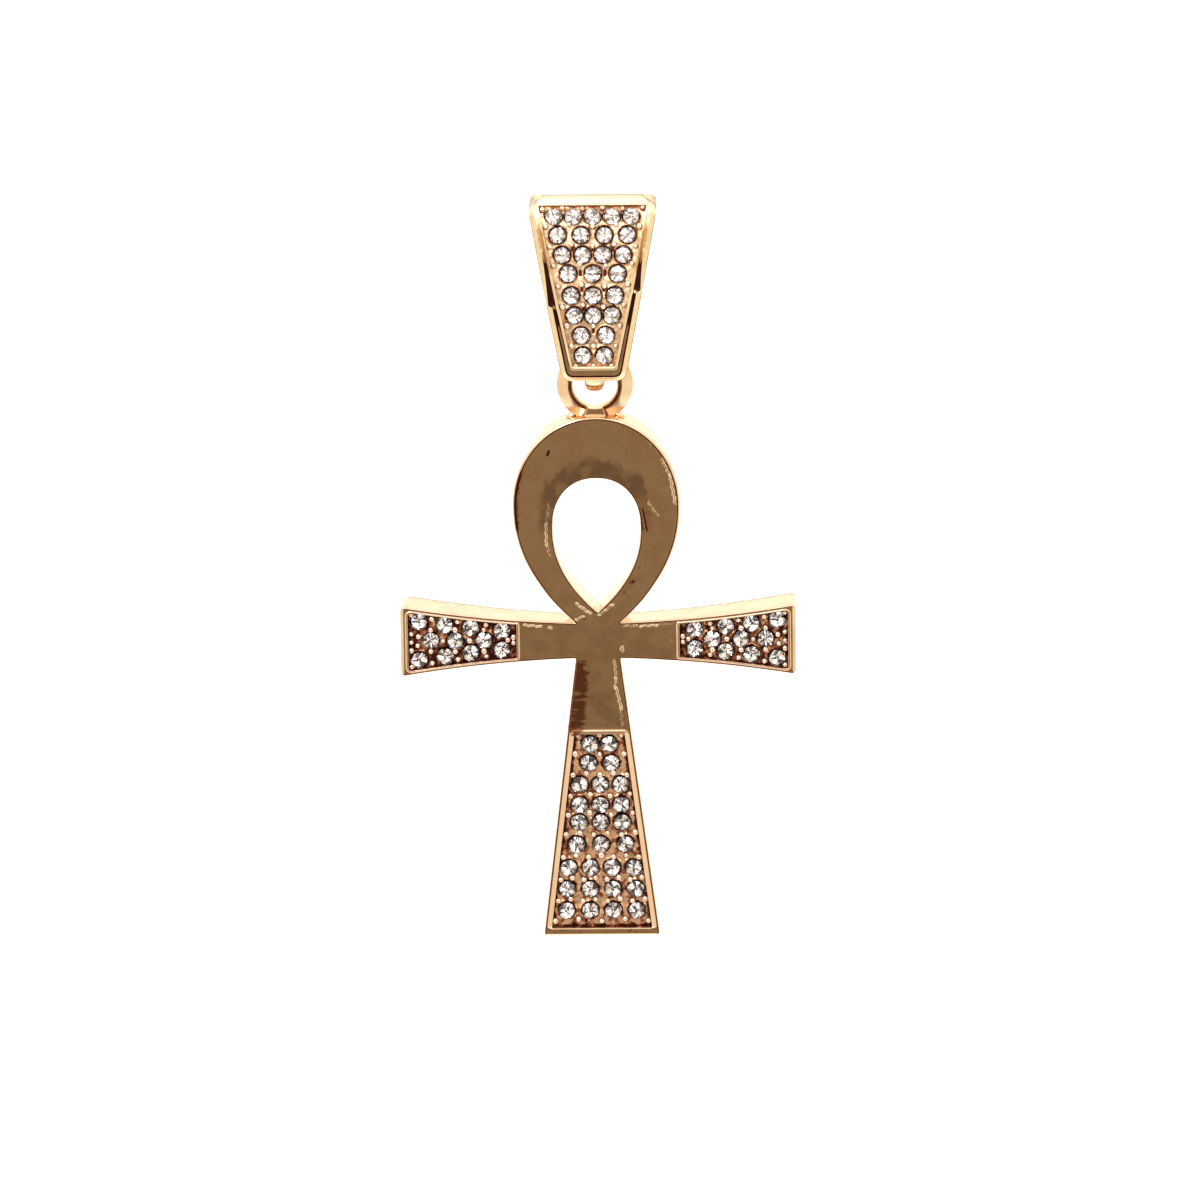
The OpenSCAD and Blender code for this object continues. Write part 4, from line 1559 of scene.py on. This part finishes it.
@dataclass
class BailCasting(Casting):
    """The bail: a front plate with a stone field, a rolled top, a plain back and the hook below."""

    body: ClassVar[Body] = Body.BAIL
    stone: StoneSize = field(default_factory=StoneSize)
    top_half: float = 7.3
    foot_half: float = 3.5
    corner: float = 1.1
    field_over: float = 2.1
    top_border: float = 1.2
    side_border: float = 1.5
    foot_border: float = 1.87
    rim_w: float = 0.38
    rim_h: float = 0.15
    bevel: float = 0.60
    bevel_deep: float = 0.46
    back_bevel: float = 0.2
    channel_start: float = 0.70
    channel_depth: float = 0.2
    spurs: tuple[Pair, ...] = ((-1.0, -9.5), (1.0, -7.7))
    spur_width: float = 0.13
    wedge_top: float = -4.2
    wedge_width: float = 0.42
    hook_w: float = 2.3
    hook_h: float = 2.94
    hook_r: float = 3.4
    slot_r: float = 2.1
    hook_set: float = 4.8
    hook_turn: float = 1.85
    hook_square: float = 2.8
    root_radii: Pair = (0.7, 1.5)
    step: float = 0.28
    rows: RowPlan = (
        (5, 0.74, 0.072),
        (4, 0.72, 0.193),
        (4, 0.685, 0.315),
        (3, 0.605, 0.43),
        (3, 0.605, 0.565),
        (3, 0.585, 0.687),
        (2, 0.445, 0.812),
        (2, 0.455, 0.938),
    )
    beads: tuple[int, ...] = (6, 5, 5, 4, 4, 4, 3, 3, 3)
    slots_up: tuple[float, ...] = (0.8, 0.1, 0.85, 0.9, 0.6)

    def __post_init__(self) -> None:
        """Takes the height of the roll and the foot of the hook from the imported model."""
        low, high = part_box("bail")
        self.top_z = high.z / MM
        self.face = BailFace(self.top_z - BailFace.roll_r)
        self.hook_y = low.y / MM + self.rim_h + self.hook_set
        self.hook_foot_z = low.z / MM
        self.start = self.face.foot_s()
        self.end = self.face.roll_end + self.face.back_length

    def side_line(self, z: Array) -> Array:
        """Gives half the bail's width at a height, on its straight side."""
        share = (z - self.face.foot_z) / (self.top_z - self.face.foot_z)
        return self.foot_half + (self.top_half - self.foot_half) * share

    def half(self, z: Array) -> Array:
        """Gives half the bail's width at a height, with its top corners rounded.

        A circle that touches the straight side and the top takes over above the place where it
        touches the side: x = xc + sqrt(r^2 - (z - zc)^2).

        Args:
            z: Heights in millimetres.

        Returns:
            Half the width at each.
        """
        run = np.array([self.top_half - self.foot_half, self.top_z - self.face.foot_z])
        out = np.array([run[1], -run[0]]) / np.linalg.norm(run)
        centre_z = self.top_z - self.corner
        centre_x = (self.top_half * out[0] + self.top_z * out[1] - self.corner - centre_z * out[1]) / out[0]
        touch_z = centre_z + self.corner * out[1]
        round_x = centre_x + np.sqrt(np.maximum(self.corner**2 - (z - centre_z) ** 2, 0))
        return np.where(z > touch_z, round_x, self.side_line(z))

    def edge(self) -> Array:
        """Draws the long edge.

        Returns:
            Points from the back's left end, over the roll, round the plate's foot and back.
        """
        s = np.linspace(self.end, self.start, 400)
        left = np.stack([-self.half(self.height(s)), s], 1)
        right = left[::-1] * FLIP
        pieces = [left, np.vstack([left[-1:], right[:1]]), right]
        return join_rounded(pieces, [0.0, 1.3, 1.3], self.step, closed=False)

    def height(self, s: Array) -> Array:
        """Gives the height of the outside at a distance s."""
        return self.face.place(np.stack([0 * s, s], -1), 0 * s)[..., 2]

    def field_half(self, s: Array) -> Array:
        """Gives half the width of the stone field, between borders that widen downwards.

        Args:
            s: Distances along the front.

        Returns:
            Half the width at each.
        """
        foot, top = self.height(np.array([self.field_foot(), self.field_over]))
        z = self.height(s)
        share = (z - foot) / (top - foot)
        return self.side_line(z) - (self.side_border + (self.top_border - self.side_border) * share)

    def field_foot(self) -> float:
        """Gives the distance s of the lower edge of the stone field."""
        return self.face.foot_s(self.foot_border)

    def field_outline(self) -> Array:
        """Draws the stone field counter-clockwise."""
        s = np.linspace(self.field_foot(), self.field_over, 60)
        return framed(np.stack([self.field_half(s), s], 1), FLIP, [0.14] * 4, 3)

    def channel(self, flat: Array) -> Array:
        """Gives the depth of the channel round the field.

        It runs out towards the roll, and two narrow spurs bridge it.

        Args:
            flat: Places (across, s), one a row.

        Returns:
            The depth at each place.
        """
        depth = self.channel_depth * (1 - smooth(flat[..., 1], -5.2, -2.6))
        for side, s in self.spurs:
            bridge = bell(flat[..., 1] - s, self.spur_width) * (flat[..., 0] * side > 0)
            depth = depth * (1 - bridge)
        return depth

    def channel_shade(self, flat: Array, depth: Array) -> Array:
        """Gives the painted shade in the channel: little at its foot, some beside it, and much higher up.

        Args:
            flat: Places (across, s), one a row.
            depth: Depth of the channel there.

        Returns:
            The share of painted shade at each place.
        """
        up = flat[..., 1] - self.field_foot()
        share = 0.12 + 0.24 * smooth(up, -0.2, 0.7) + 0.64 * smooth(up, 3.6, 5.4)
        return depth / self.channel_depth * share

    def add_shell(self) -> Array:
        """Adds the walls, the bevelled front edge and the inner side of the bail.

        Along the long edge the section runs from the inner side up the wall, up a slope whose inset is
        a t and whose depth is b (1 - t)^0.9, over a narrow crest and down into the channel. Above each spur
        the slope is cut back by a wedge, which makes the channel wider and darkens it with painted shade.

        Returns:
            The innermost row on the outside, as two flat values, a depth and a share of painted shade.
        """
        edge = self.edge()
        s = edge[:, 1]
        flush = 0 * s
        front = 1 - smooth(s, 4.0, 6.5)
        wedge = flush
        for side, foot in self.spurs:
            above = np.clip((self.wedge_top - s) / (self.wedge_top - foot), 0, 1)
            above = above * (s > foot + 0.1) * (edge[:, 0] * side > 0)
            wedge = wedge + self.wedge_width * above**1.4
        wide = self.back_bevel + (self.bevel - self.back_bevel) * front - wedge
        deep = self.back_bevel + (self.bevel_deep - self.back_bevel) * front
        t = np.linspace(0, 1, 7)[:, None]
        out = outward(edge, closed=False)
        crown = edge - out * self.channel_start
        channel = self.channel(crown)
        plate = self.face.plate_t
        start = self.channel_start - wedge
        inset = [flush + 0.15, flush + 0.04, flush, flush, flush]
        inset += list(wide * (0.04 + 0.96 * t))
        inset += [wide + 0.03, start, start + 0.07, start + 0.13]
        depth = [flush + plate, flush + plate - 0.04, flush + plate - 0.15, (plate + deep) / 2, deep + 0.1]
        depth += list(deep * (1 - t) ** 0.9)
        depth += [0.02 + channel * 0.1, channel * 0.95, channel, channel]
        inset, depth = np.array(inset), np.array(depth)
        # Painted shade: along the channel and the crest beside it, more above the spurs, and a line where the
        # wall meets the bevel along the plate.
        grime_and_shade = np.zeros_like(depth)
        cut = channel / self.channel_depth
        grime_and_shade[-4:-1] = np.array([0.9, 1.0, 0.9])[:, None] * cut + 0.12 * (1 - cut) * front
        grime_and_shade[-1] = self.channel_shade(crown, channel)
        grime_and_shade[-3:] += 2.2 * wedge
        grime_and_shade[4:7] = np.array([0.7, 0.7, 0.2])[:, None] * (1 - smooth(s, 0.5, 2.0))
        flat = edge[None] - out[None] * inset[..., None]
        flat[:, [0, -1], 1] = self.end
        outer_z = self.face.place(flat, 0 * depth)[..., 2]
        true_z = self.face.place(flat, depth)[..., 2]
        on_side = smooth(s, self.start + 1.2, self.start + 2.0)
        stretch = 1 + (self.half(true_z) / self.half(outer_z) - 1) * smooth(depth, 0.3, 1.0) * on_side
        rows = self.face.place(np.stack([flat[..., 0] * stretch, flat[..., 1]], -1), depth)
        self.shape.sheet(rows, closed=False, grime_and_shade=grime_and_shade)
        self.add_inside(np.column_stack([flat[0], depth[0]]), stretch[0])
        self.add_end(flat, depth, stretch)
        return np.column_stack([flat[-1], depth[-1], grime_and_shade[-1]])

    def closing(self, width: float) -> Array:
        """Gives places from right to left across the end of the back, without the two ends."""
        return np.stack([np.linspace(width, -width, 24)[1:-1], np.full(22, self.end)], 1)

    def add_inside(self, row: Array, stretch: Array) -> None:
        """Adds the inner side of plate, roll and back.

        Args:
            row: The inner edge as rows of two flat values and a depth.
            stretch: Factor on the places across, at each row.
        """
        line = self.closing(row[-1, 0])
        loop = np.vstack([row, np.column_stack([line, np.full(len(line), self.face.plate_t)])])
        grid = lattice([loop[:, :2]], 0.6, 0.3)
        rows, triangles = fill([loop], np.column_stack([grid, np.full(len(grid), self.face.plate_t)]))
        half = len(row) // 2
        factor = np.interp(-rows[:, 1], -row[:half, 1], stretch[:half])
        places = np.stack([rows[:, 0] * factor, rows[:, 1]], 1)
        self.shape.add(self.face.place(places, rows[:, 2]), triangles)

    def add_end(self, flat: Array, depth: Array, stretch: Array) -> None:
        """Closes the lower end of the back, between the section's two ends and the lines across.

        Args:
            flat: Places of the section's rows along the long edge.
            depth: Their depths.
            stretch: Factors on the places across.
        """
        left = np.stack([flat[:, 0, 0] * stretch[:, 0], depth[:, 0]], 1)
        right = np.stack([flat[:, -1, 0] * stretch[:, -1], depth[:, -1]], 1)
        inner = self.closing(flat[0, -1, 0])
        outer = self.closing(flat[-1, -1, 0])[::-1]
        loop = np.vstack([
            left[::-1],
            np.stack([inner[::-1, 0] * stretch[0, 0], np.full(len(inner), self.face.plate_t)], 1),
            right,
            np.stack([outer[::-1, 0], np.zeros(len(outer))], 1),
        ])
        rows, triangles = fill([np.column_stack([loop, 0 * loop[:, 0]])], np.empty((0, 3)))
        places = np.stack([rows[:, 0], np.full(len(rows), self.end)], 1)
        self.shape.add(self.face.place(places, rows[:, 1]), triangles)

    def add_front(self, edge: Array, rim: Array) -> None:
        """Adds the outside between the edge's crown and the rim of the field, over the roll to the back.

        Args:
            edge: The innermost row of the edge.
            rim: The outer foot of the rim.
        """
        line = self.closing(edge[-1, 0])
        loop = np.vstack([edge, np.column_stack([line, np.zeros((len(line), 2))])])
        grid = lattice([loop[:, :2], rim[:, :2]], 0.3, 0.1)
        channel = self.channel(grid)
        # The channel is darkened with painted shade.
        rows = np.column_stack([grid, channel, self.channel_shade(grid, channel)])
        self.shape.cover(self.face, [loop, rim], rows)

    def add_hook(self) -> None:
        """Adds the hook: a crescent seen from the side, with a rounded section.

        From the slot's middle a ray at each angle meets the slot's circle and the hook's outer circle.
        The section between the two is a superellipse, |x|^n + |r|^n = 1, carried round those rays. Two
        lines of painted shade run across its front. A rounded lump joins it to the plate.
        """
        slot_z = self.hook_foot_z + self.hook_h + self.slot_r
        centre_z = self.hook_foot_z + self.hook_r
        turn = np.linspace(-self.hook_turn, self.hook_turn, 97)
        sin, cos = np.sin(turn), -np.cos(turn)
        gap = slot_z - centre_z
        outer = -gap * cos + np.sqrt(self.hook_r**2 - (gap * sin) ** 2)
        outer = np.maximum(outer, self.slot_r + 0.75)
        middle, thick = (outer + self.slot_r) / 2, (outer - self.slot_r) / 2
        section = signed_power(circle(28), 2 / self.hook_square)
        reach = middle[:, None] + thick[:, None] * section[:, 1]
        across = self.hook_w / 2 * section[:, 0] + 0 * reach
        rows = np.stack([across, self.hook_y + reach * sin[:, None], slot_z + reach * cos[:, None]], -1)
        caps = rows[[0, -1]].mean(1, keepdims=True) + 0 * rows[[0, -1]]
        rows = np.concatenate([caps[:1], rows, caps[1:]])
        front = smooth(-rows[..., 1], -self.hook_y, -self.hook_y + 1.0)
        up = rows[..., 2] - self.hook_foot_z
        # Painted shade: a shadow line high on the front and a fainter line lower down.
        grime_and_shade = (bell(up - 1.28, 0.12) + 0.5 * bell(up - 0.68, 0.08)) * front
        self.shape.sheet(rows, grime_and_shade=grime_and_shade)
        root = (0.0, self.hook_y - self.hook_set + self.face.plate_t, centre_z + 0.35)
        self.shape.sheet(puff(root, (self.hook_w / 2, *self.root_radii), 0.75))

    def make_field(self) -> StoneField:
        """Makes the bail's field.

        Returns:
            The field, with eight rows of stones.
        """
        outline = self.field_outline()
        foot, over = self.field_foot(), self.field_over
        rows, beads = set_rows(
            self.rows, self.beads, self.field_half, over, over - foot, (over - 0.3, foot), self.stone
        )
        low = 1 - smooth(outline[:, 1], -4.5, 0.5)
        at_foot = 1 - smooth(outline[:, 1], foot + 0.02, foot + 0.14)
        width = self.rim_w * (0.55 + 0.45 * low) + 0.12 * at_foot
        height = self.rim_h * (0.1 + 0.9 * low) + 0.03 * at_foot
        side, level = np.array(self.spurs).T
        nicks = np.exp(-((outline[:, 1:] - level) ** 2) / 0.02) * (outline[:, :1] * side > 0)
        height = height * (1 - 0.6 * nicks.sum(1))
        base = self.channel(outline + outward(outline) * width[:, None])
        # Painted shade of the channel, outside the rim.
        soil_and_shade = self.channel_shade(outline, base)
        rim = RimLine(width, height, base, soil_and_shade, lean=2.2 - 1.75 * at_foot, apron=0.07)
        # Narrow slots between the stones, a little deeper and darkened with painted shade.
        slots = []
        for row, up in zip(rows[2:7], self.slots_up):
            middle = row[0, 1] + up
            for x in (row[1:, 0] + row[:-1, 0]) / 2:
                slots.append(Mark((x, middle - 0.22), (x, middle + 0.22), 0.15, 2.0))
        return StoneField(
            "bail", self.face, outline, np.vstack(rows), beads, rim, self.stone, bare=0.9,
            wall_shade=0.3, corner_soil_and_shade=0.25, slots=tuple(slots), collar_height=0.2,
        )

    def layers(self, points: Array) -> dict[str, Array]:
        """Gives the shares that the finishes read.

        Args:
            points: Points of the casting in millimetres.

        Returns:
            Warmer streaks on both sides of the plate's front, and nothing in the other shares.
        """
        flat = np.stack([np.abs(points[:, 0]), points[:, 2] - self.top_z], 1)
        streaks = marks_at(flat, STREAKS, 0.05) * (points[:, 1] < 0)
        return {"copper": streaks} | {name: 0 * streaks for name in ("stain", "shade", "satin")}

    def build(self) -> None:
        """Builds the casting and its stones."""
        edge = self.add_shell()
        stone_field = self.make_field()
        self.add_front(edge, stone_field.add_rim(self.shape))
        stone_field.add_floor(self.shape)
        stone_field.add_beads(self.shape)
        self.add_hook()
        self.complete([stone_field])


class Board:
    """A shader's node tree, with one way to add a node."""

    def __init__(self, tree: bpy.types.NodeTree) -> None:
        """Starts with an empty tree."""
        self.tree = tree
        tree.nodes.clear()

    def node(self, kind: str, inputs: dict | None = None, out: int | str = 0, **settings: object) -> "Value":
        """Adds a node.

        Args:
            kind: Type of the node, without the words that all types of node begin with.
            inputs: Values or links of its sockets, by name or number.
            out: Socket that the result stands for, by name or number.
            **settings: Settings of the node, which are set first.

        Returns:
            The chosen output.
        """
        node = self.tree.nodes.new(f"ShaderNode{kind}")
        for name, value in settings.items():
            setattr(node, name, value)
        for key, value in (inputs or {}).items():
            if isinstance(value, Value):
                self.tree.links.new(value.socket, node.inputs[key])
            else:
                node.inputs[key].default_value = value
        return Value(self, node.outputs[out] if node.outputs else None)

    def blend(self, share: "Value", first: "Value | tuple", second: "Value | tuple") -> "Value":
        """Mixes two colours by a share, with the first at 0."""
        first, second = (colour if isinstance(colour, Value) else (*colour, 1) for colour in (first, second))
        return self.node("Mix", {0: share, 6: first, 7: second}, out=2, data_type="RGBA")

    def noise(self, place: "Value", scale: float, detail: float) -> "Value":
        """Adds a soft random pattern."""
        return self.node("TexNoise", {"Vector": place, "Scale": scale, "Detail": detail})

    def layer(self, name: str) -> "Value":
        """Reads a share that is kept on the piece."""
        return self.node("Attribute", out="Fac", attribute_name=name)

    def surface(self, inputs: dict) -> None:
        """Adds the surface that the inputs describe, and the material's output."""
        skin = self.node("BsdfPrincipled", inputs)
        self.node("OutputMaterial", {"Surface": skin})


class Value:
    """A number or colour on its way through a shader, with Python's operators as Math nodes."""

    def __init__(self, board: Board, socket: bpy.types.NodeSocket) -> None:
        """Holds an output socket."""
        self.board = board
        self.socket = socket

    def math(self, operation: str, first: object, second: object) -> "Value":
        """Adds a Math node on two values."""
        return self.board.node("Math", {0: first, 1: second}, operation=operation)

    def __add__(self, other: object) -> "Value":
        """Adds."""
        return self.math("ADD", self, other)

    def __radd__(self, other: object) -> "Value":
        """Adds, reflected."""
        return self.math("ADD", other, self)

    def __sub__(self, other: object) -> "Value":
        """Subtracts."""
        return self.math("SUBTRACT", self, other)

    def __rsub__(self, other: object) -> "Value":
        """Subtracts, reflected."""
        return self.math("SUBTRACT", other, self)

    def __mul__(self, other: object) -> "Value":
        """Multiplies."""
        return self.math("MULTIPLY", self, other)

    def __rmul__(self, other: object) -> "Value":
        """Multiplies, reflected."""
        return self.math("MULTIPLY", other, self)

    def step(self, low: float, high: float) -> "Value":
        """Rises smoothly from 0 at low to 1 at high."""
        ends = {0: self, 1: min(low, high), 2: max(low, high), 3: float(low > high), 4: float(low < high)}
        return self.board.node("MapRange", ends, interpolation_type="SMOOTHSTEP")


def new_material(name: str) -> tuple[Material, Board, Value]:
    """Makes an empty material.

    Args:
        name: Its name.

    Returns:
        The material, its board and the place on the piece.
    """
    material = bpy.data.materials.new(name)
    material.use_nodes = True
    board = Board(material.node_tree)
    return material, board, board.node("TexCoord", out="Object")


@dataclass(frozen=True)
class GoldFinish:
    """Rose gold plate: its colours, how even its polish is, and how rough it is."""

    name: str
    colour: Triple = (0.93, 0.71, 0.475)
    warm: Triple = (0.92, 0.655, 0.42)
    stain: Triple = (0.25, 0.09, 0.042)
    copper: Triple = (0.90, 0.56, 0.32)
    # Colour that the front darkens towards, lower down and round the hole's top.
    darker_tone: Triple = (0.16, 0.10, 0.07)
    smoke: Triple = (0.45, 0.31, 0.20)
    matt: Triple = (0.88, 0.62, 0.42)
    # Colours that grime and painted shade darken the metal towards, in recesses, seat gaps and along edges.
    tarnish_and_shade: Triple = (0.60, 0.27, 0.12)
    grime_and_shade: Triple = (0.10, 0.032, 0.015)
    # Colour of a painted dark reflection where the metal turns away from the view.
    grazing_shade_colour: Triple = (0.36, 0.19, 0.08)
    rough: float = 0.08
    rough_spread: float = 0.06
    wave: float = 0.006
    grain: float = 0.0006
    crust: float = 0.004
    grazing_shade: float = 0.0
    patchy: float = 0.4

    def material(self) -> Material:
        """Makes the material.

        Returns:
            Metal whose colour drifts between two golds, reddens in its stains and darkens in its grime and
            painted shade, with a slow wave and a fine grain in its polish. With a grazing shade it browns
            where it turns away, a painted dark reflection.
        """
        material, board, place = new_material(self.name)
        cloud, mottle = board.noise(place, 260.0, 3.0), board.noise(place, 1400.0, 4.0)
        slow, grain = board.noise(place, 520.0, 4.0), board.noise(place, 3500.0, 2.0)
        flowing = board.node("Mapping", {"Vector": place, "Scale": (0.25, 1.0, 1.3)})
        streak = board.noise(flowing, 2400.0, 3.0)
        satin = board.layer("satin")
        red = (board.layer("stain") * (mottle * 1.2 + streak * 3.4 - 1.4)).step(0.25, 0.6)
        # Grime and painted shade darken recesses, seat gaps and edges, broken up by the mottle.
        dirt_and_shade = board.layer("grime_and_shade") + (mottle - 0.5) * self.patchy
        brown, dark = dirt_and_shade.step(0.2, 0.5), dirt_and_shade.step(0.55, 0.9)
        blends = [
            (board.layer("copper") * (0.5 + mottle), self.copper),
            # Darker towards the bottom of the cross and the shaft, and round the hole's top.
            (board.layer("shade") * (0.2 + slow.step(0.42, 0.58) * 0.25), self.darker_tone),
            (slow.step(0.4, 0.62) * 0.10 + mottle.step(0.4, 0.65) * 0.08, self.smoke),
            (satin * (0.25 + slow * 0.5), self.matt),
            (red, self.stain),
            (brown, self.tarnish_and_shade),
            (dark, self.grime_and_shade),
        ]
        # Painted dark reflection: browns the metal as its face turns away from the view.
        if self.grazing_shade:
            facing = board.node("LayerWeight", {"Blend": 0.5}, out="Facing")
            blends.append((facing.step(0.58, 0.80) * self.grazing_shade, self.grazing_shade_colour))
        base = board.blend(cloud.step(0.35, 0.65), self.colour, self.warm)
        for share, colour in blends:
            base = board.blend(share, base, colour)
        rough = self.rough + self.rough_spread * cloud + 0.2 * red + 0.16 * satin + 0.25 * brown
        height = cloud * self.wave + grain * self.grain + mottle * (red + brown * 2) * self.crust
        bump = board.node("Bump", {"Height": height, "Strength": 1.0, "Distance": MM})
        board.surface({"Base Color": base, "Roughness": rough, "Metallic": 1.0, "Normal": bump})
        return material


@dataclass(frozen=True)
class CrystalFinish:
    """Clear cut glass, slightly tinted from stone to stone."""

    name: str = "clear_crystal"
    clear: Triple = (1.0, 0.99, 0.975)
    blush: Triple = (0.97, 0.90, 0.90)
    index: float = 1.56
    smears: float = 0.04

    def material(self) -> Material:
        """Makes the material.

        Returns:
            Glass whose colour follows each stone's own tint, with faint smears in its gloss.
        """
        material, board, place = new_material(self.name)
        base = board.blend(board.layer("tint"), self.clear, self.blush)
        rough = board.noise(place, 900.0, 2.0).step(0.45, 0.8) * self.smears
        board.surface({"Base Color": base, "Roughness": rough, "IOR": self.index, "Transmission Weight": 1.0})
        return material


@dataclass(frozen=True)
class FoilFinish:
    """The silvered back of a stone, with some facets where the silver has thinned."""

    name: str = "silvered_back"
    bright: Triple = (0.97, 0.96, 0.95)
    dim: Triple = (0.50, 0.45, 0.39)
    thin: Triple = (0.06, 0.05, 0.04)
    rough: float = 0.04
    rough_spread: float = 0.08

    def material(self) -> Material:
        """Makes the material.

        Returns:
            Metal that is bright, dim or thinned from facet to facet, with soft blots.
        """
        material, board, place = new_material(self.name)
        blot, facet = board.noise(place, 1100.0, 2.0), board.layer("facet")
        base = board.blend((facet + blot * 0.2).step(0.5, 0.7), self.bright, self.dim)
        base = board.blend((facet + blot * 0.1).step(0.80, 0.86), base, self.thin)
        rough = self.rough + blot * self.rough_spread
        board.surface({"Base Color": base, "Roughness": rough, "Metallic": 1.0})
        return material


@dataclass(frozen=True)
class Studio:
    """A pale floor, soft light all round and the camera at the photograph's angle."""

    aim: Triple = (0.2, 0.0, -45.63)
    distance: float = 1200.0
    azimuth: float = math.radians(1.33)
    elevation: float = math.radians(18.1)
    roll: float = math.radians(-0.79)
    seen_width: float = 134.35
    sensor: float = 36.0
    floor_gap: float = 14.0
    floor_r: float = 3000.0
    floor_colours: tuple[tuple[float, ...], ...] = ((0.93, 0.93, 0.93), (0.96, 0.96, 0.955))
    dark: Triple = (0.281, 0.203, 0.130)
    side: Triple = (1.05, 0.97, 0.82)
    bright: Triple = (1.40, 1.37, 1.30)
    above: Triple = (1.8, 1.8, 2.1)
    backdrop: Triple = (1.0, 1.0, 1.0)
    lamp_place: Triple = (-220.0, -280.0, 320.0)
    lamp_size: float = 160.0
    lamp_power: float = 1.6

    def add_camera(self) -> None:
        """Adds the camera, turned to its aim and rolled a little, with depth of field off."""
        data = bpy.data.cameras.new("camera")
        data.sensor_width = self.sensor
        data.lens = self.sensor * self.distance / self.seen_width
        data.clip_start, data.clip_end = 0.01, 100.0
        camera = bpy.data.objects.new("camera", data)
        flat = math.cos(self.elevation)
        back = Vector((
            math.sin(self.azimuth) * flat,
            -math.cos(self.azimuth) * flat,
            math.sin(self.elevation),
        ))
        turn = back.to_track_quat("Z", "Y").to_matrix().to_4x4() @ Matrix.Rotation(self.roll, 4, "Z")
        place = (Vector(self.aim) + back * self.distance) * MM
        camera.matrix_world = Matrix.Translation(place) @ turn
        bpy.context.scene.collection.objects.link(camera)
        bpy.context.scene.camera = camera

    def add_floor(self, lowest: float) -> None:
        """Adds a round pale floor below the pendant.

        Args:
            lowest: Height of the pendant's lowest point, in millimetres.
        """
        rings = np.array([0.0, 0.02, 0.05, 0.1, 0.2, 0.4, 0.7, 1.0]) * self.floor_r
        flat = rings[:, None, None] * circle(64)
        level = np.full((*flat.shape[:2], 1), lowest - self.floor_gap)
        shape = Shape()
        shape.sheet(np.concatenate([flat, level], 2), 0)
        material, board, place = new_material("pale_floor")
        base = board.blend(board.noise(place, 60.0, 3.0), *self.floor_colours)
        board.surface({"Base Color": base, "Roughness": 0.8})
        floor = shape.build("floor", [material])
        floor.visible_glossy = False

    def add_world(self) -> None:
        """Adds the light: bright all round but for a dim olive stretch low in front, as a shaded room."""
        world = bpy.data.worlds.new("studio")
        bpy.context.scene.world = world
        world.use_nodes = True
        board = Board(world.node_tree)
        way = board.node("TexCoord", out="Generated")
        x, y, z = (board.node("SeparateXYZ", {0: way}, out=axis) for axis in range(3))
        wide = board.node("Math", {0: x}, operation="ABSOLUTE")
        beside = wide.step(0.3, 0.6) * z.step(0.5, 0.2) * z.step(-0.75, -0.45)
        front = (0 - y).step(0.1, 0.45)
        shade = wide.step(0.50, 0.40) * front * z.step(0.17, 0.08) * z.step(-0.82, -0.62)
        from_camera = board.node("LightPath", out="Is Camera Ray")
        colour = board.blend(z.step(0.6, 0.9), self.bright, self.above)
        for share, tone in ((beside, self.side), (shade, self.dark), (from_camera, self.backdrop)):
            colour = board.blend(share, colour, tone)
        light = board.node("Background", {"Color": colour, "Strength": 1.0})
        board.node("OutputWorld", {"Surface": light})

    def add_key(self) -> None:
        """Adds one soft lamp high on the left, for the small highlights."""
        data = bpy.data.lights.new("key", "AREA")
        data.shape = "DISK"
        data.size = self.lamp_size * MM
        data.energy = self.lamp_power
        lamp = bpy.data.objects.new("key", data)
        place = Vector(self.lamp_place) * MM
        away = place - Vector(self.aim) * MM
        lamp.matrix_world = Matrix.Translation(place) @ away.to_track_quat("Z", "Y").to_matrix().to_4x4()
        bpy.context.scene.collection.objects.link(lamp)

    def build(self) -> None:
        """Sets up the floor, the light and the camera."""
        self.add_floor(CAD_BOX[0].z / MM)
        self.add_world()
        self.add_key()
        self.add_camera()
        bpy.context.scene.view_settings.view_transform = "Standard"


UNEVEN = {"rough": 0.3, "rough_spread": 0.25, "wave": 0.02, "grain": 0.004}
ROSE_GOLD = (
    GoldFinish("polished_plate"),
    GoldFinish(
        "cast_floor",
        colour=(0.97, 0.69, 0.43),
        warm=(0.92, 0.60, 0.37),
        tarnish_and_shade=(0.36, 0.13, 0.065),
        grime_and_shade=(0.075, 0.017, 0.012),
        patchy=3.0,
        **UNEVEN,
    ),
    GoldFinish("burnished_beads", colour=(0.99, 0.82, 0.68), warm=(0.97, 0.74, 0.58), rough=0.33),
)
YELLOW_GOLD = (
    GoldFinish(
        "bail_plate",
        colour=(0.95, 0.79, 0.52),
        warm=(0.93, 0.72, 0.45),
        copper=(0.50, 0.27, 0.09),
        grime_and_shade=(0.045, 0.012, 0.009),
        grazing_shade=0.9,
    ),
    GoldFinish("bail_floor", colour=(0.96, 0.79, 0.54), warm=(0.93, 0.69, 0.45), **UNEVEN),
    GoldFinish("bail_beads", colour=(0.99, 0.84, 0.64), warm=(0.96, 0.74, 0.52), rough=0.34),
)
BRIGHT_BACK = FoilFinish("bright_back", dim=(0.74, 0.69, 0.62), thin=(0.26, 0.21, 0.16))


def main() -> None:
    """Builds the two castings with their stones, then the studio."""
    logging.basicConfig(level=logging.INFO, format="%(name)s %(message)s")
    rose, yellow = ([finish.material() for finish in gold] for gold in (ROSE_GOLD, YELLOW_GOLD))
    clear = CrystalFinish().material()
    silvered, bright = FoilFinish().material(), BRIGHT_BACK.material()
    BailCasting(yellow, [clear, bright]).build()
    AnkhCasting(rose, [clear, silvered]).build()
    Studio().build()


if __name__ == "__main__":
    main()
